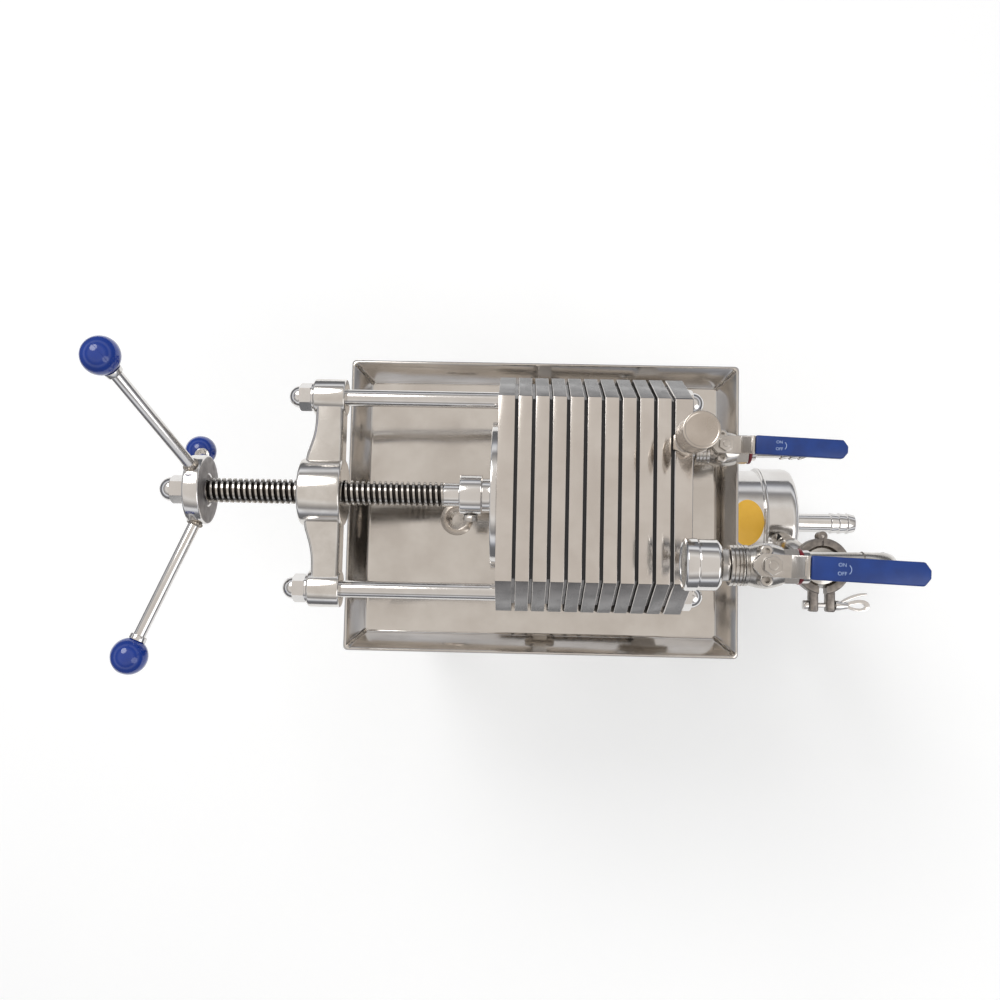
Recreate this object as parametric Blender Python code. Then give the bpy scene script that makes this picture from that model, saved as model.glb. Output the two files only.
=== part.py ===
"""Small stainless plate filter press over a drip tray, with its pump on a shelf below.

Lengths are metres.  +X runs along the screw from the star handle to the valves, +Y is the
far side and +Z is up.  Pieces are laid out from a datum on the screw's axis: x is measured
from the left face of the fixed plate, y from the axis and z from the height of the axis.
"""
import math

import bmesh
import bpy
from mathutils import Matrix, Vector

# Gap that pieces keep where one rests on, or fits in, another
FIT = 0.0003

# Height of the screw's axis over the floor
AXIS_HEIGHT = 0.520

# Plate pack
PLATE_COUNT = 9
PLATE_THICKNESS = 0.0112
GASKET_GAP = 0.0028
FOLLOWER_THICKNESS = 0.0133
FIXED_THICKNESS = 0.0150
PLATE_HALF_HEIGHT = 0.0875
PLATE_FACET_WIDTH = 0.0255
PLATE_FACET_HEIGHT = 0.0565
EAR_WALL = 0.0073
EAR_LOWER_EDGE = 0.0025
BODY_ROD_CLEARANCE = 0.0040
BODY_SHOULDER_DROP = 0.0133
BODY_CHAMFER = 0.0200
PLATE_EDGE_BREAK = 0.0006
GASKET_INSET = 0.0022
GASKET_FACET_SHARE = 0.86
FILTER_RECESS_BORDER = 0.0220
FILTER_RECESS_DEPTH = 0.0014
RIB_WIDTH = 0.0030
RIB_PITCH = 0.0120

# Tie rods
ROD_DIAMETER = 0.0150
ROD_HALF_SPACING = 0.0855
CAP_NUT_ACROSS = 0.0220
CAP_NUT_HEX_HEIGHT = 0.0110
CAP_NUT_DOME_RADIUS = 0.0100
CAP_NUT_DOME_STEP = 0.0004
CAP_NUT_WASHER_DIAMETER = 0.0264
CAP_NUT_WASHER_THICKNESS = 0.0020

# Screw and star handle
SCREW_DIAMETER = 0.0220
SCREW_THREAD_LENGTH = 0.2116
SCREW_NECK_DIAMETER = 0.0214
SCREW_NECK_LENGTH = 0.0134
JOURNAL_DIAMETER = 0.0160
JOURNAL_LENGTH = 0.0150
HUB_DIAMETER = 0.0620
HUB_THICKNESS = 0.0148
HUB_BORE_DIAMETER = 0.0180
HUB_EDGE_BREAK = 0.0012
HANDLE_REACH = 0.1490
HANDLE_SET_BACK = 0.0544
HANDLE_FIRST_ANGLE = math.radians(40.0)
ARM_COUNT = 3
ARM_DIAMETER = 0.0105
ARM_ROOT_RADIUS = 0.0255
BALL_DIAMETER = 0.0320
BALL_FLAT_DEPTH = 0.0010
BALL_STEPS = 8

# Thrust head between the screw and the follower plate
COLLAR_DIAMETER = 0.0365
COLLAR_LENGTH = 0.0195
COLLAR_NECK_DIAMETER = 0.0307
COLLAR_NECK_LENGTH = 0.0088
THRUST_DISC_DIAMETER = 0.1310
THRUST_DISC_THICKNESS = 0.0060
THRUST_EDGE_BREAK = 0.0010

# Yoke that carries the screw
YOKE_OPENING = 0.1376
YOKE_BOSS_DIAMETER = 0.0598
YOKE_BOSS_LENGTH = 0.0380
YOKE_END_BOSS_DIAMETER = 0.0330
YOKE_END_BOSS_LENGTH = 0.0290
YOKE_ARM_ROOT_DEPTH = 0.0330
YOKE_ARM_TIP_DEPTH = 0.0265
YOKE_ARM_HEIGHT = 0.0260
YOKE_ARM_ROUNDING = 0.0030
YOKE_ARM_SET_IN = 0.0015
YOKE_ARM_BULGE = 0.0030
YOKE_WAIST_DIP = 0.0022
YOKE_WAIST_STEPS = 4
YOKE_EDGE_RADIUS = 0.0016
YOKE_END_SET_IN = 0.0004

# Drip tray
TRAY_CENTRE_X = -0.1010
TRAY_CENTRE_Y = -0.0030
TRAY_LENGTH = 0.3866
TRAY_WIDTH = 0.2890
TRAY_DEPTH = 0.0290
TRAY_FLARE = 0.0172
TRAY_RIM_LEVEL = -0.0986
TRAY_SHEET = 0.0015
TRAY_CORNER_RADIUS = 0.0085
TRAY_FLOOR_CORNER_RADIUS = 0.0040
TRAY_HEM_WIDTH = 0.0035
TRAY_HEM_HEIGHT = 0.0035
DRAIN_X = -0.1870
DRAIN_Y = -0.0150
DRAIN_FLANGE_DIAMETER = 0.0330
DRAIN_PIPE_DIAMETER = 0.0210
DRAIN_BORE_DIAMETER = 0.0150
DRAIN_DROP = 0.0380
DRAIN_RIM_HEIGHT = 0.0030
DRAIN_EDGE_HEIGHT = 0.0014
DRAIN_RIM_SLOPE = 0.0035

# Supports that stand in the tray
FOOT_WIDTH = 0.1200
FOOT_FLANGE_LENGTH = 0.0500
FOOT_FLANGE_THICKNESS = 0.0060
FOOT_WEB_SPREAD = 0.0060
ROD_POST_WIDTH = 0.0100
ROD_POST_LENGTH = 0.0140
ROD_POST_X = -0.1000
ROD_POST_FLANGE = 0.0300
ROD_POST_FLANGE_OVERHANG = 0.0040
ROD_POST_FLANGE_THICKNESS = 0.0050

# Stand
LEG_SIZE = 0.0250
LEG_INSET_X = 0.0360
LEG_INSET_Y = 0.0240
LEG_EDGE_RADIUS = 0.0025
FOOT_DIAMETER = 0.0340
FOOT_HEIGHT = 0.0180
FOOT_EDGE_HEIGHT = 0.0060
FOOT_TOP_BORDER = 0.0030
FOOT_STEM_DIAMETER = 0.0120
FOOT_STEM_LENGTH = 0.0120
FOOT_STEM_HOLD = 0.0040
SHELF_TOP_LEVEL = -0.4750
SHELF_SHEET = 0.0020
SHELF_LIP = 0.0220
SHELF_OVERHANG = 0.0500

# Lower feed line and its elbow down to the pump
PORT_LEVEL = -0.0400
FEED_Y = -0.0570
FEED_DROP_X = 0.2220
FEED_DROP_Y = -0.0530
FEED_PIPE_DIAMETER = 0.0225
FEED_ELBOW_RADIUS = 0.0300
PORT_BOSS_DIAMETER = 0.0320
PORT_BOSS_LENGTH = 0.0080
CLAMP_LEVEL = -0.2620
FERRULE_DIAMETER = 0.0505
FERRULE_THICKNESS = 0.0028
FERRULE_LIP = 0.0015
FERRULE_SLOPE_END = 0.0045
FERRULE_SLOPE_RADIUS = 0.0207
FERRULE_NECK_END = 0.0073
FERRULE_LENGTH = 0.0168
FERRULE_NECK_WALL = 0.0012
CLAMP_OUTER_DIAMETER = 0.0640
CLAMP_HEIGHT = 0.0150
CLAMP_WALL = 0.0062
CLAMP_HOOK = 0.0030
CLAMP_EDGE_BREAK = 0.0020
CLAMP_SPLIT = 0.0080
CLAMP_LUG_GAP = 0.0090
CLAMP_LUG_THICKNESS = 0.0100
CLAMP_LUG_LENGTH = 0.0242
CLAMP_LUG_ROOT = 0.0042
CLAMP_LUG_SET_IN = 0.0013
CLAMP_LUG_ROUNDING = 0.0017
CLAMP_HINGE_DIAMETER = 0.0110
CLAMP_HINGE_OFFSET = 0.0020
CLAMP_HINGE_SET_IN = 0.0005
CLAMP_BOLT_OFFSET = 0.0125
CLAMP_BOLT_DIAMETER = 0.0060
CLAMP_BOLT_HOLE_DIAMETER = 0.0070
CLAMP_BOLT_HEAD_DIAMETER = 0.0110
CLAMP_BOLT_HEAD_HEIGHT = 0.0058
CLAMP_NUT_CLEARANCE = 0.0007
WING_HUB_DIAMETER = 0.0124
WING_HUB_TIP_DIAMETER = 0.0080
WING_HUB_LENGTH = 0.0148
WING_LOOP_CENTRE = 0.0400
WING_LOOP_RISE = 0.0040
WING_LOOP_RADIUS = 0.0105
WING_LOOP_STRETCH = 1.25
WING_HOLE_RISE = -0.0005
WING_HOLE_RADIUS = 0.0046
WING_THICKNESS = 0.0032

# Gauge and ball valve on the riser
RISER_X = 0.0345
RISER_DIAMETER = 0.0215
RISER_FOOT_STEP = 0.0020
RISER_SHOULDER_LENGTH = 0.0030
RISER_SHOULDER_CLEARANCE = 0.0010
GAUGE_LEVEL = 0.1520
GAUGE_Y = -0.0590
GAUGE_CASE_DIAMETER = 0.0386
GAUGE_FRONT_X = -0.0034
GAUGE_CASE_LENGTH = 0.0268
GAUGE_BEZEL_LENGTH = 0.0105
GAUGE_BEZEL_STEP = 0.0006
GAUGE_GLASS_BORDER = 0.0022
GAUGE_GLASS_DEPTH = 0.0012
GAUGE_EDGE_BREAK = 0.0010
GAUGE_BACK_SLOPE_LENGTH = 0.0025
GAUGE_BACK_SLOPE_HEIGHT = 0.0035
GAUGE_NUT_ACROSS = 0.0230
TEE_DIAMETER = 0.0300
TEE_LENGTH = 0.0100
RING_GROOVE_DEPTH = 0.0009
RING_GROOVE_HALF_WIDTH = 0.0012

# Ball valves
VALVE_RING_DIAMETER = 0.0300
OUTLET_RING_LENGTH = 0.0125
BLEED_RING_LENGTH = 0.0030
VALVE_BODY_DIAMETER = 0.0280
VALVE_BODY_LENGTH = 0.0250
VALVE_BALL_DIAMETER = 0.0330
VALVE_HEX_ACROSS = 0.0250
VALVE_HEX_LENGTH = 0.0110
VALVE_STEM_DIAMETER = 0.0080
VALVE_STEM_SET_BACK = 0.0040
VALVE_HEX_LIP = 0.0020
VALVE_HEX_SET_IN = 0.0026
VALVE_HEX_EDGE_BREAK = 0.0006
VALVE_PAD_BASE = 0.0100
VALVE_PAD_HEIGHT = 0.0260
VALVE_PAD_LENGTH = 0.0300
VALVE_PAD_WIDTH = 0.0095
VALVE_PAD_ROUNDING = 0.0018
LEVER_LEVEL = 0.0360
LEVER_SHEET = 0.0030
LEVER_WIDTH = 0.0160
LEVER_HEEL = 0.0125
LEVER_STEP_START = 0.0135
LEVER_STEP_END = 0.0225
LEVER_STEP_RISE = 0.0070
LEVER_HEEL_TRIM = 0.0060
LEVER_REST_YAW = math.radians(-2.2)
LEVER_NUT_ACROSS = 0.0120
LEVER_NUT_HEIGHT = 0.0055
GRIP_START = 0.0250
GRIP_LENGTH = 0.0810
GRIP_WIDTH = 0.0166
GRIP_THICKNESS = 0.0070
GRIP_CORNER = 0.0042
GRIP_CORNER_SLANT = 1.3
GRIP_EDGE_RADIUS = 0.0012
LEVER_TONGUE_WIDTH = 0.0120
LEVER_TONGUE_SHARE = 0.85
LEVER_TONGUE_INSET = 0.0004
LEVER_TONGUE_ROOT = 0.0040
SEAL_DIAMETER = 0.0262
SEAL_THICKNESS = 0.0028
SEAL_EDGE_BREAK = 0.0006

# Outlet valve with its hose tail
OUTLET_Y = 0.0505
OUTLET_VALVE_X = 0.0377
TAIL_DIAMETER = 0.0140
TAIL_BARB_DIAMETER = 0.0172
TAIL_BORE_DIAMETER = 0.0100
TAIL_SHANK = 0.0270
TAIL_BARB_LENGTH = 0.0085
TAIL_BARB_COUNT = 3
TAIL_SHOULDER_RISE = 0.0012
TAIL_SHOULDER_LENGTH = 0.0040
TAIL_SHOULDER_SLOPE = 0.0015
BARB_CREST_SHARE = 0.12
BARB_END_TAPER = 0.0008

# Bleed nozzle on the upper valve
NOZZLE_DIAMETER = 0.0130
NOZZLE_BORE_DIAMETER = 0.0080
NOZZLE_LENGTH = 0.0200
NOZZLE_SHOULDER_DIAMETER = 0.0240
NOZZLE_SHOULDER_LENGTH = 0.0050
NOZZLE_SHOULDER_SLOPE = 0.0015

# Vent cap on the fixed plate
VENT_Y = 0.0385
VENT_CAP_DIAMETER = 0.0282
VENT_CAP_HEIGHT = 0.0360
VENT_NECK_DIAMETER = 0.0175
VENT_NECK_LENGTH = 0.0330
VENT_HEX_ACROSS = 0.0190
VENT_HEX_HEIGHT = 0.0080
VENT_STEM_DIAMETER = 0.0120
VENT_STEM_LENGTH = 0.0080
VENT_HEX_SET_IN = 0.0006
VENT_EDGE_BREAK = 0.0010
VENT_TOP_ROUNDING = 0.0015

# Pump
PUMP_LEVEL = -0.4040
PUMP_Y = 0.0040
PUMP_FRONT_X = 0.2200
PUMP_DIAMETER = 0.1368
PUMP_COVER_LENGTH = 0.0385
PUMP_SEAM_LENGTH = 0.0050
PUMP_SEAM_RISE = 0.0012
PUMP_REAR_LENGTH = 0.0400
PUMP_REAR_DIAMETER = 0.1310
PUMP_EDGE_RADIUS = 0.0120
SUCTION_DIAMETER = 0.0240
SUCTION_BARB_DIAMETER = 0.0270
SUCTION_BORE_DIAMETER = 0.0190
SUCTION_SHANK = 0.0540
SUCTION_BARB_LENGTH = 0.0105
SUCTION_BARB_COUNT = 3
DISCHARGE_PIPE_DIAMETER = 0.0250
DISCHARGE_ROOT_X = 0.2040
DISCHARGE_ROOT_Y = -0.0300
DISCHARGE_ROOT_DEPTH = 0.0060
DISCHARGE_KNEE_HEIGHT = 0.0120
DISCHARGE_STRAIGHT_END = 0.0300
BEND_STEPS = 8

# Motor
MOTOR_DIAMETER = 0.1180
MOTOR_LENGTH = 0.1750
MOTOR_FLANGE_DIAMETER = 0.1300
MOTOR_FLANGE_THICKNESS = 0.0120
MOTOR_FIN_COUNT = 12
MOTOR_FIN_HEIGHT = 0.0055
MOTOR_FIN_WIDTH = 0.0030
MOTOR_FIN_ROOT = 0.0040
MOTOR_FIN_END_GAP = 0.0040
MOTOR_COWL_LENGTH = 0.0380
MOTOR_COWL_RISE = 0.0010
MOTOR_COWL_ROUNDING = 0.0060
MOTOR_FOOT_WIDTH = 0.1100
MOTOR_FOOT_LENGTH = 0.0900
MOTOR_FOOT_THICKNESS = 0.0080
MOTOR_PEDESTAL_WIDTH = 0.0700
MOTOR_PEDESTAL_REACH = 0.7
TERMINAL_BOX_LENGTH = 0.0700
TERMINAL_BOX_WIDTH = 0.0600
TERMINAL_BOX_HEIGHT = 0.0300
TERMINAL_BOX_ROUNDING = 0.0040
TERMINAL_BOX_SEAT = 0.8

# Places worked out from the sizes above
PITCH = PLATE_THICKNESS + GASKET_GAP
ROD_RADIUS = ROD_DIAMETER / 2
PLATE_EAR_HALF_WIDTH = ROD_HALF_SPACING + ROD_RADIUS + EAR_WALL
PLATE_TOP_HALF_WIDTH = PLATE_EAR_HALF_WIDTH - PLATE_FACET_WIDTH
BODY_HALF_WIDTH = ROD_HALF_SPACING - ROD_RADIUS - BODY_ROD_CLEARANCE
FILTER_RECESS_RADIUS = min(BODY_HALF_WIDTH, PLATE_HALF_HEIGHT) - FILTER_RECESS_BORDER
FOLLOWER_RIGHT = -PLATE_COUNT * PITCH - GASKET_GAP
FOLLOWER_LEFT = FOLLOWER_RIGHT - FOLLOWER_THICKNESS
DISC_RIGHT = FOLLOWER_LEFT - FIT
DISC_LEFT = DISC_RIGHT - THRUST_DISC_THICKNESS
COLLAR_RIGHT = DISC_LEFT - COLLAR_NECK_LENGTH
COLLAR_LEFT = COLLAR_RIGHT - COLLAR_LENGTH
NECK_LEFT = COLLAR_LEFT - FIT - SCREW_NECK_LENGTH
HUB_RIGHT = NECK_LEFT - SCREW_THREAD_LENGTH
HUB_LEFT = HUB_RIGHT - HUB_THICKNESS
BALL_X = HUB_LEFT + HUB_THICKNESS / 2 - HANDLE_SET_BACK + HUB_THICKNESS / 2
YOKE_RIGHT = FOLLOWER_LEFT - YOKE_OPENING
SUCTION_LENGTH = SUCTION_SHANK + SUCTION_BARB_COUNT * SUCTION_BARB_LENGTH
SUCTION_END = PUMP_FRONT_X + FIT + SUCTION_LENGTH
TRAY_FLOOR_LEVEL = TRAY_RIM_LEVEL - TRAY_DEPTH
TRAY_UNDERSIDE = TRAY_FLOOR_LEVEL - TRAY_SHEET
BALL_ANGLES = [HANDLE_FIRST_ANGLE + k * math.tau / ARM_COUNT for k in range(ARM_COUNT)]
BALL_OFFSETS = [HANDLE_REACH * math.sin(angle) for angle in BALL_ANGLES]

# The middle of the whole object, seen from above, lies over the origin
LOW_X = BALL_X - BALL_DIAMETER / 2
HIGH_X = SUCTION_END
LOW_Y = min(min(BALL_OFFSETS) - BALL_DIAMETER / 2, TRAY_CENTRE_Y - TRAY_WIDTH / 2)
HIGH_Y = max(max(BALL_OFFSETS) + BALL_DIAMETER / 2, TRAY_CENTRE_Y + TRAY_WIDTH / 2)
MIDDLE_X = (LOW_X + HIGH_X) / 2
MIDDLE_Y = (LOW_Y + HIGH_Y) / 2

SEGMENTS = 20
FINE_SEGMENTS = 32
SMALL_SEGMENTS = 12


def place(x, y, z):
    """Return the world place of a point given from the datum."""
    return Vector((x - MIDDLE_X, y - MIDDLE_Y, z + AXIS_HEIGHT))


def clear_scene():
    """Remove every object, mesh and material that is already in the file."""
    for item in list(bpy.data.objects):
        bpy.data.objects.remove(item, do_unlink=True)
    for item in list(bpy.data.meshes):
        bpy.data.meshes.remove(item)
    for item in list(bpy.data.materials):
        bpy.data.materials.remove(item)


def make_material(name, colour, metallic, roughness):
    """Return a Principled material."""
    material = bpy.data.materials.new(name)
    material.use_nodes = True
    shader = material.node_tree.nodes["Principled BSDF"]
    shader.inputs["Base Color"].default_value = (*colour, 1.0)
    shader.inputs["Metallic"].default_value = metallic
    shader.inputs["Roughness"].default_value = roughness
    return material


def add_object(name, mesh_builder, material, location, parent=None, turn=None):
    """Make an object from a bmesh, with closed outward faces and smooth round sides."""
    if turn is not None:
        bmesh.ops.transform(mesh_builder, matrix=turn, verts=mesh_builder.verts)
    bmesh.ops.remove_doubles(mesh_builder, verts=mesh_builder.verts, dist=1e-7)
    bmesh.ops.recalc_face_normals(mesh_builder, faces=mesh_builder.faces)
    mesh = bpy.data.meshes.new(name)
    mesh_builder.to_mesh(mesh)
    mesh_builder.free()
    mesh.shade_smooth()
    mesh.set_sharp_from_angle(angle=math.radians(35))
    thing = bpy.data.objects.new(name, mesh)
    bpy.context.scene.collection.objects.link(thing)
    if material is not None:
        mesh.materials.append(material)
    thing.location = location
    if parent is not None:
        thing.parent = parent
        thing.location = Vector(location) - parent.location
    return thing


def add_pivot(name, location):
    """Make an empty that stands on a joint's axis."""
    pivot = bpy.data.objects.new(name, None)
    pivot.empty_display_size = 0.03
    pivot.location = location
    bpy.context.scene.collection.objects.link(pivot)
    return pivot


def use_as_tool(owner, tool, operation):
    """Cut or add one object to another and keep the tool out of the model."""
    tool.display_type = "WIRE"
    tool.hide_render = True
    tool.parent = owner.parent
    modifier = owner.modifiers.new(tool.name, "BOOLEAN")
    modifier.operation = operation
    modifier.solver = "EXACT"
    modifier.object = tool


def cut(owner, tool):
    """Take a tool's shape out of an object."""
    use_as_tool(owner, tool, "DIFFERENCE")


def fuse(owner, tool):
    """Weld a tool's shape to an object."""
    use_as_tool(owner, tool, "UNION")


def soften(owner, width, segments=1):
    """Break the sharp edges of an object."""
    modifier = owner.modifiers.new("edge_break", "BEVEL")
    modifier.width = width
    modifier.segments = segments
    modifier.limit_method = "ANGLE"
    modifier.angle_limit = math.radians(40)


def turned(profile, segments=SEGMENTS):
    """Spin (x, radius) points about the X axis.

    A profile that starts and ends on the axis gives a solid, any other gives a ring.
    """
    shape = bmesh.new()
    points = [shape.verts.new((x, 0.0, radius)) for x, radius in profile]
    edges = [shape.edges.new(pair) for pair in zip(points, points[1:])]
    if profile[0][1] > 0.0 or profile[-1][1] > 0.0:
        edges.append(shape.edges.new((points[-1], points[0])))
    bmesh.ops.spin(shape, geom=points + edges, cent=(0, 0, 0), axis=(1, 0, 0), dvec=(0, 0, 0),
                   angle=math.tau, steps=segments, use_merge=True, use_duplicate=False)
    bmesh.ops.remove_doubles(shape, verts=shape.verts, dist=1e-7)
    return shape


def rod_shape(start, end, diameter, segments=SEGMENTS, chamfer=0.0):
    """Return a cylinder along X, with its end edges chamfered if asked."""
    radius = diameter / 2
    profile = [(start, 0.0), (start, radius - chamfer), (start + chamfer, radius), (end - chamfer, radius),
               (end, radius - chamfer), (end, 0.0)]
    if chamfer == 0.0:
        profile = [(start, 0.0), (start, radius), (end, radius), (end, 0.0)]
    return turned(profile, segments)


def extruded(outline, start, end):
    """Extrude a closed (y, z) outline along X."""
    shape = bmesh.new()
    base = shape.faces.new([shape.verts.new((start, y, z)) for y, z in outline])
    grown = bmesh.ops.extrude_face_region(shape, geom=[base])
    moved = [item for item in grown["geom"] if isinstance(item, bmesh.types.BMVert)]
    bmesh.ops.translate(shape, verts=moved, vec=(end - start, 0, 0))
    return shape


def raised(outline, low, high):
    """Raise a closed (x, y) outline from one level to another."""
    shape = bmesh.new()
    base = shape.faces.new([shape.verts.new((x, y, low)) for x, y in outline])
    grown = bmesh.ops.extrude_face_region(shape, geom=[base])
    moved = [item for item in grown["geom"] if isinstance(item, bmesh.types.BMVert)]
    bmesh.ops.translate(shape, verts=moved, vec=(0, 0, high - low))
    return shape


def side_profile(outline, half_width):
    """Give an (x, z) outline its width across Y."""
    shape = bmesh.new()
    base = shape.faces.new([shape.verts.new((x, -half_width, z)) for x, z in outline])
    grown = bmesh.ops.extrude_face_region(shape, geom=[base])
    moved = [item for item in grown["geom"] if isinstance(item, bmesh.types.BMVert)]
    bmesh.ops.translate(shape, verts=moved, vec=(0, 2 * half_width, 0))
    return shape


def hexagon(across):
    """Return the outline of a hexagon with flats above and below."""
    corner = across / math.sqrt(3)
    return [(corner * math.cos(k * math.tau / 6), corner * math.sin(k * math.tau / 6)) for k in range(6)]


def block(low, high):
    """Return a box between two corners."""
    shape = bmesh.new()
    bmesh.ops.create_cube(shape, size=1.0)
    low = Vector(low)
    high = Vector(high)
    size = high - low
    bmesh.ops.scale(shape, vec=size, verts=shape.verts)
    bmesh.ops.translate(shape, vec=(low + high) / 2, verts=shape.verts)
    return shape


def arc(centre, radius, first, last, steps):
    """Return points along an arc, in degrees, both ends included."""
    points = []
    for k in range(steps + 1):
        angle = math.radians(first + (last - first) * k / steps)
        points.append((centre[0] + radius * math.cos(angle), centre[1] + radius * math.sin(angle)))
    return points


def swept(route, diameter, segments=16):
    """Carry a circle along a list of points and close both ends."""
    shape = bmesh.new()
    heading = (route[1] - route[0]).normalized()
    side = heading.orthogonal().normalized()
    rings = []
    for k, spot in enumerate(route):
        before = route[max(k - 1, 0)]
        after = route[min(k + 1, len(route) - 1)]
        turned_heading = (after - before).normalized()
        side = heading.rotation_difference(turned_heading) @ side
        heading = turned_heading
        ring = []
        for n in range(segments):
            spoke = Matrix.Rotation(math.tau * n / segments, 3, heading) @ side
            ring.append(shape.verts.new(spot + spoke * diameter / 2))
        rings.append(ring)
    for first, second in zip(rings, rings[1:]):
        for n in range(segments):
            after = (n + 1) % segments
            shape.faces.new((first[n], first[after], second[after], second[n]))
    shape.faces.new(rings[0])
    shape.faces.new(rings[-1])
    return shape


# Turn that stands a shape laid along X on its end
UP = Matrix.Rotation(-math.pi / 2, 4, "Y")


def mirrored(outline):
    """Complete an outline that runs down its right half, from top middle to bottom middle."""
    inner = [point for point in reversed(outline) if abs(point[0]) > 1e-9]
    return outline + [(-y, z) for y, z in inner]


def plate_outline(hangs):
    """Return a plate's outline: eight-sided, with ears over the rods if it hangs on them."""
    top = PLATE_HALF_HEIGHT
    facet_end = top - PLATE_FACET_HEIGHT
    half = [(0.0, top), (PLATE_TOP_HALF_WIDTH, top), (PLATE_EAR_HALF_WIDTH, facet_end)]
    if hangs:
        seat = ROD_RADIUS + FIT
        edge = -EAR_LOWER_EDGE
        half.append((PLATE_EAR_HALF_WIDTH, edge))
        half.append((ROD_HALF_SPACING + seat, edge))
        half += arc((ROD_HALF_SPACING, 0.0), seat, 0, 180, 6)
        half.append((ROD_HALF_SPACING - seat, edge))
        half.append((BODY_HALF_WIDTH, -BODY_SHOULDER_DROP))
    else:
        half.append((PLATE_EAR_HALF_WIDTH, -facet_end))
    body_side = BODY_HALF_WIDTH if hangs else PLATE_TOP_HALF_WIDTH
    if hangs:
        half.append((body_side, -top + BODY_CHAMFER))
        half.append((body_side - BODY_CHAMFER, -top))
    else:
        half.append((body_side, -top))
    half.append((0.0, -top))
    return mirrored(half)


def gasket_outline():
    """Return the outer edge of a gasket, which leaves the rods free."""
    top = PLATE_HALF_HEIGHT - GASKET_INSET
    slope = (PLATE_EAR_HALF_WIDTH - PLATE_TOP_HALF_WIDTH) / PLATE_FACET_HEIGHT
    corner = PLATE_TOP_HALF_WIDTH - GASKET_INSET
    low = PLATE_HALF_HEIGHT - PLATE_FACET_HEIGHT * GASKET_FACET_SHARE
    reach = corner + slope * (top - low)
    side = BODY_HALF_WIDTH - 2 * GASKET_INSET
    half = [(0.0, top), (corner, top), (reach, low), (side, ROD_DIAMETER)]
    half += [(side, -top + BODY_CHAMFER), (side - BODY_CHAMFER, -top), (0.0, -top)]
    return mirrored(half)


def recess_profile(face, inward, ribbed):
    """Return the section of a round recess cut into a face, with or without its ribs."""
    floor = face + inward * FILTER_RECESS_DEPTH
    outside = face - inward * 2 * GASKET_GAP
    points = [(outside, 0.0), (outside, FILTER_RECESS_RADIUS), (floor, FILTER_RECESS_RADIUS)]
    radius = FILTER_RECESS_RADIUS - RIB_PITCH
    crest = face + inward * FIT
    while ribbed and radius > RIB_PITCH:
        outer = radius + RIB_WIDTH / 2
        inner = radius - RIB_WIDTH / 2
        points += [(floor, outer), (crest, outer), (crest, inner), (floor, inner)]
        radius -= RIB_PITCH
    points.append((floor, 0.0))
    return points


def build_hanging_plate(name, left, thickness, material, two_sided):
    """Make a plate that hangs on the rods, with its gasket land and filter recesses."""
    right = left + thickness
    plate = add_object(name, extruded(plate_outline(True), 0.0, thickness), material, place(left, 0, 0))
    land_depth = GASKET_GAP - FIT
    land = add_object(name + "_land", extruded(gasket_outline(), -land_depth, land_depth), None,
                      place(right, 0, 0))
    fuse(plate, land)
    recess = add_object(name + "_recess", turned(recess_profile(0.0, -1, not two_sided)), None,
                        place(right, 0, 0))
    cut(plate, recess)
    if two_sided:
        recess = add_object(name + "_back_recess", turned(recess_profile(0.0, 1, False)), None,
                            place(left, 0, 0))
        cut(plate, recess)


def build_pack(steel):
    """Make the fixed plate, the inner plates and the follower."""
    fixed = add_object("fixed_plate", extruded(plate_outline(False), 0.0, FIXED_THICKNESS), steel,
                       place(0, 0, 0))
    soften(fixed, PLATE_EDGE_BREAK)
    for side, label in ((1, "far"), (-1, "near")):
        bore = add_object("fixed_plate_bore_" + label,
                          rod_shape(-FIXED_THICKNESS, 2 * FIXED_THICKNESS, ROD_DIAMETER + 2 * FIT), None,
                          place(0, side * ROD_HALF_SPACING, 0))
        cut(fixed, bore)
    recess = add_object("fixed_plate_recess", turned(recess_profile(0.0, 1, True)), None, place(0, 0, 0))
    cut(fixed, recess)
    vent_bore = rod_shape(-VENT_STEM_LENGTH - FIT, VENT_STEM_LENGTH, VENT_STEM_DIAMETER + 2 * FIT)
    vent = add_object("fixed_plate_vent_bore", vent_bore, None,
                      place(FIXED_THICKNESS / 2, VENT_Y, PLATE_HALF_HEIGHT), turn=UP)
    cut(fixed, vent)
    for k in range(1, PLATE_COUNT + 1):
        left = -(PLATE_COUNT + 1 - k) * PITCH
        build_hanging_plate(f"filter_plate_{k}", left, PLATE_THICKNESS, steel, True)
    build_hanging_plate("follower_plate", FOLLOWER_LEFT, FOLLOWER_THICKNESS, steel, False)


def cap_nut_shapes(name, x, y, direction, parent=None):
    """Make the hexagon and the domed end of a cap nut that bears on a face at x."""
    washer_end = CAP_NUT_WASHER_THICKNESS
    hex_end = washer_end + CAP_NUT_HEX_HEIGHT
    dome = CAP_NUT_DOME_RADIUS
    dome_start = hex_end + CAP_NUT_DOME_STEP
    profile = [(0.0, 0.0), (0.0, CAP_NUT_WASHER_DIAMETER / 2), (washer_end, CAP_NUT_WASHER_DIAMETER / 2),
               (washer_end, dome), (dome_start, dome)]
    profile += [(dome_start + dome * math.sin(math.radians(a)), dome * math.cos(math.radians(a)))
                for a in (22, 45, 68)]
    profile.append((dome_start + dome, 0.0))
    side = Matrix.Identity(4) if direction > 0 else Matrix.Rotation(math.pi, 4, "Z")
    body = add_object(name + "_dome", turned(profile, SMALL_SEGMENTS), None, place(x, y, 0), parent,
                      side)
    flats = add_object(name + "_flats", extruded(hexagon(CAP_NUT_ACROSS), washer_end / 2, hex_end), None,
                       place(x, y, 0), parent, side)
    return body, flats


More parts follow.
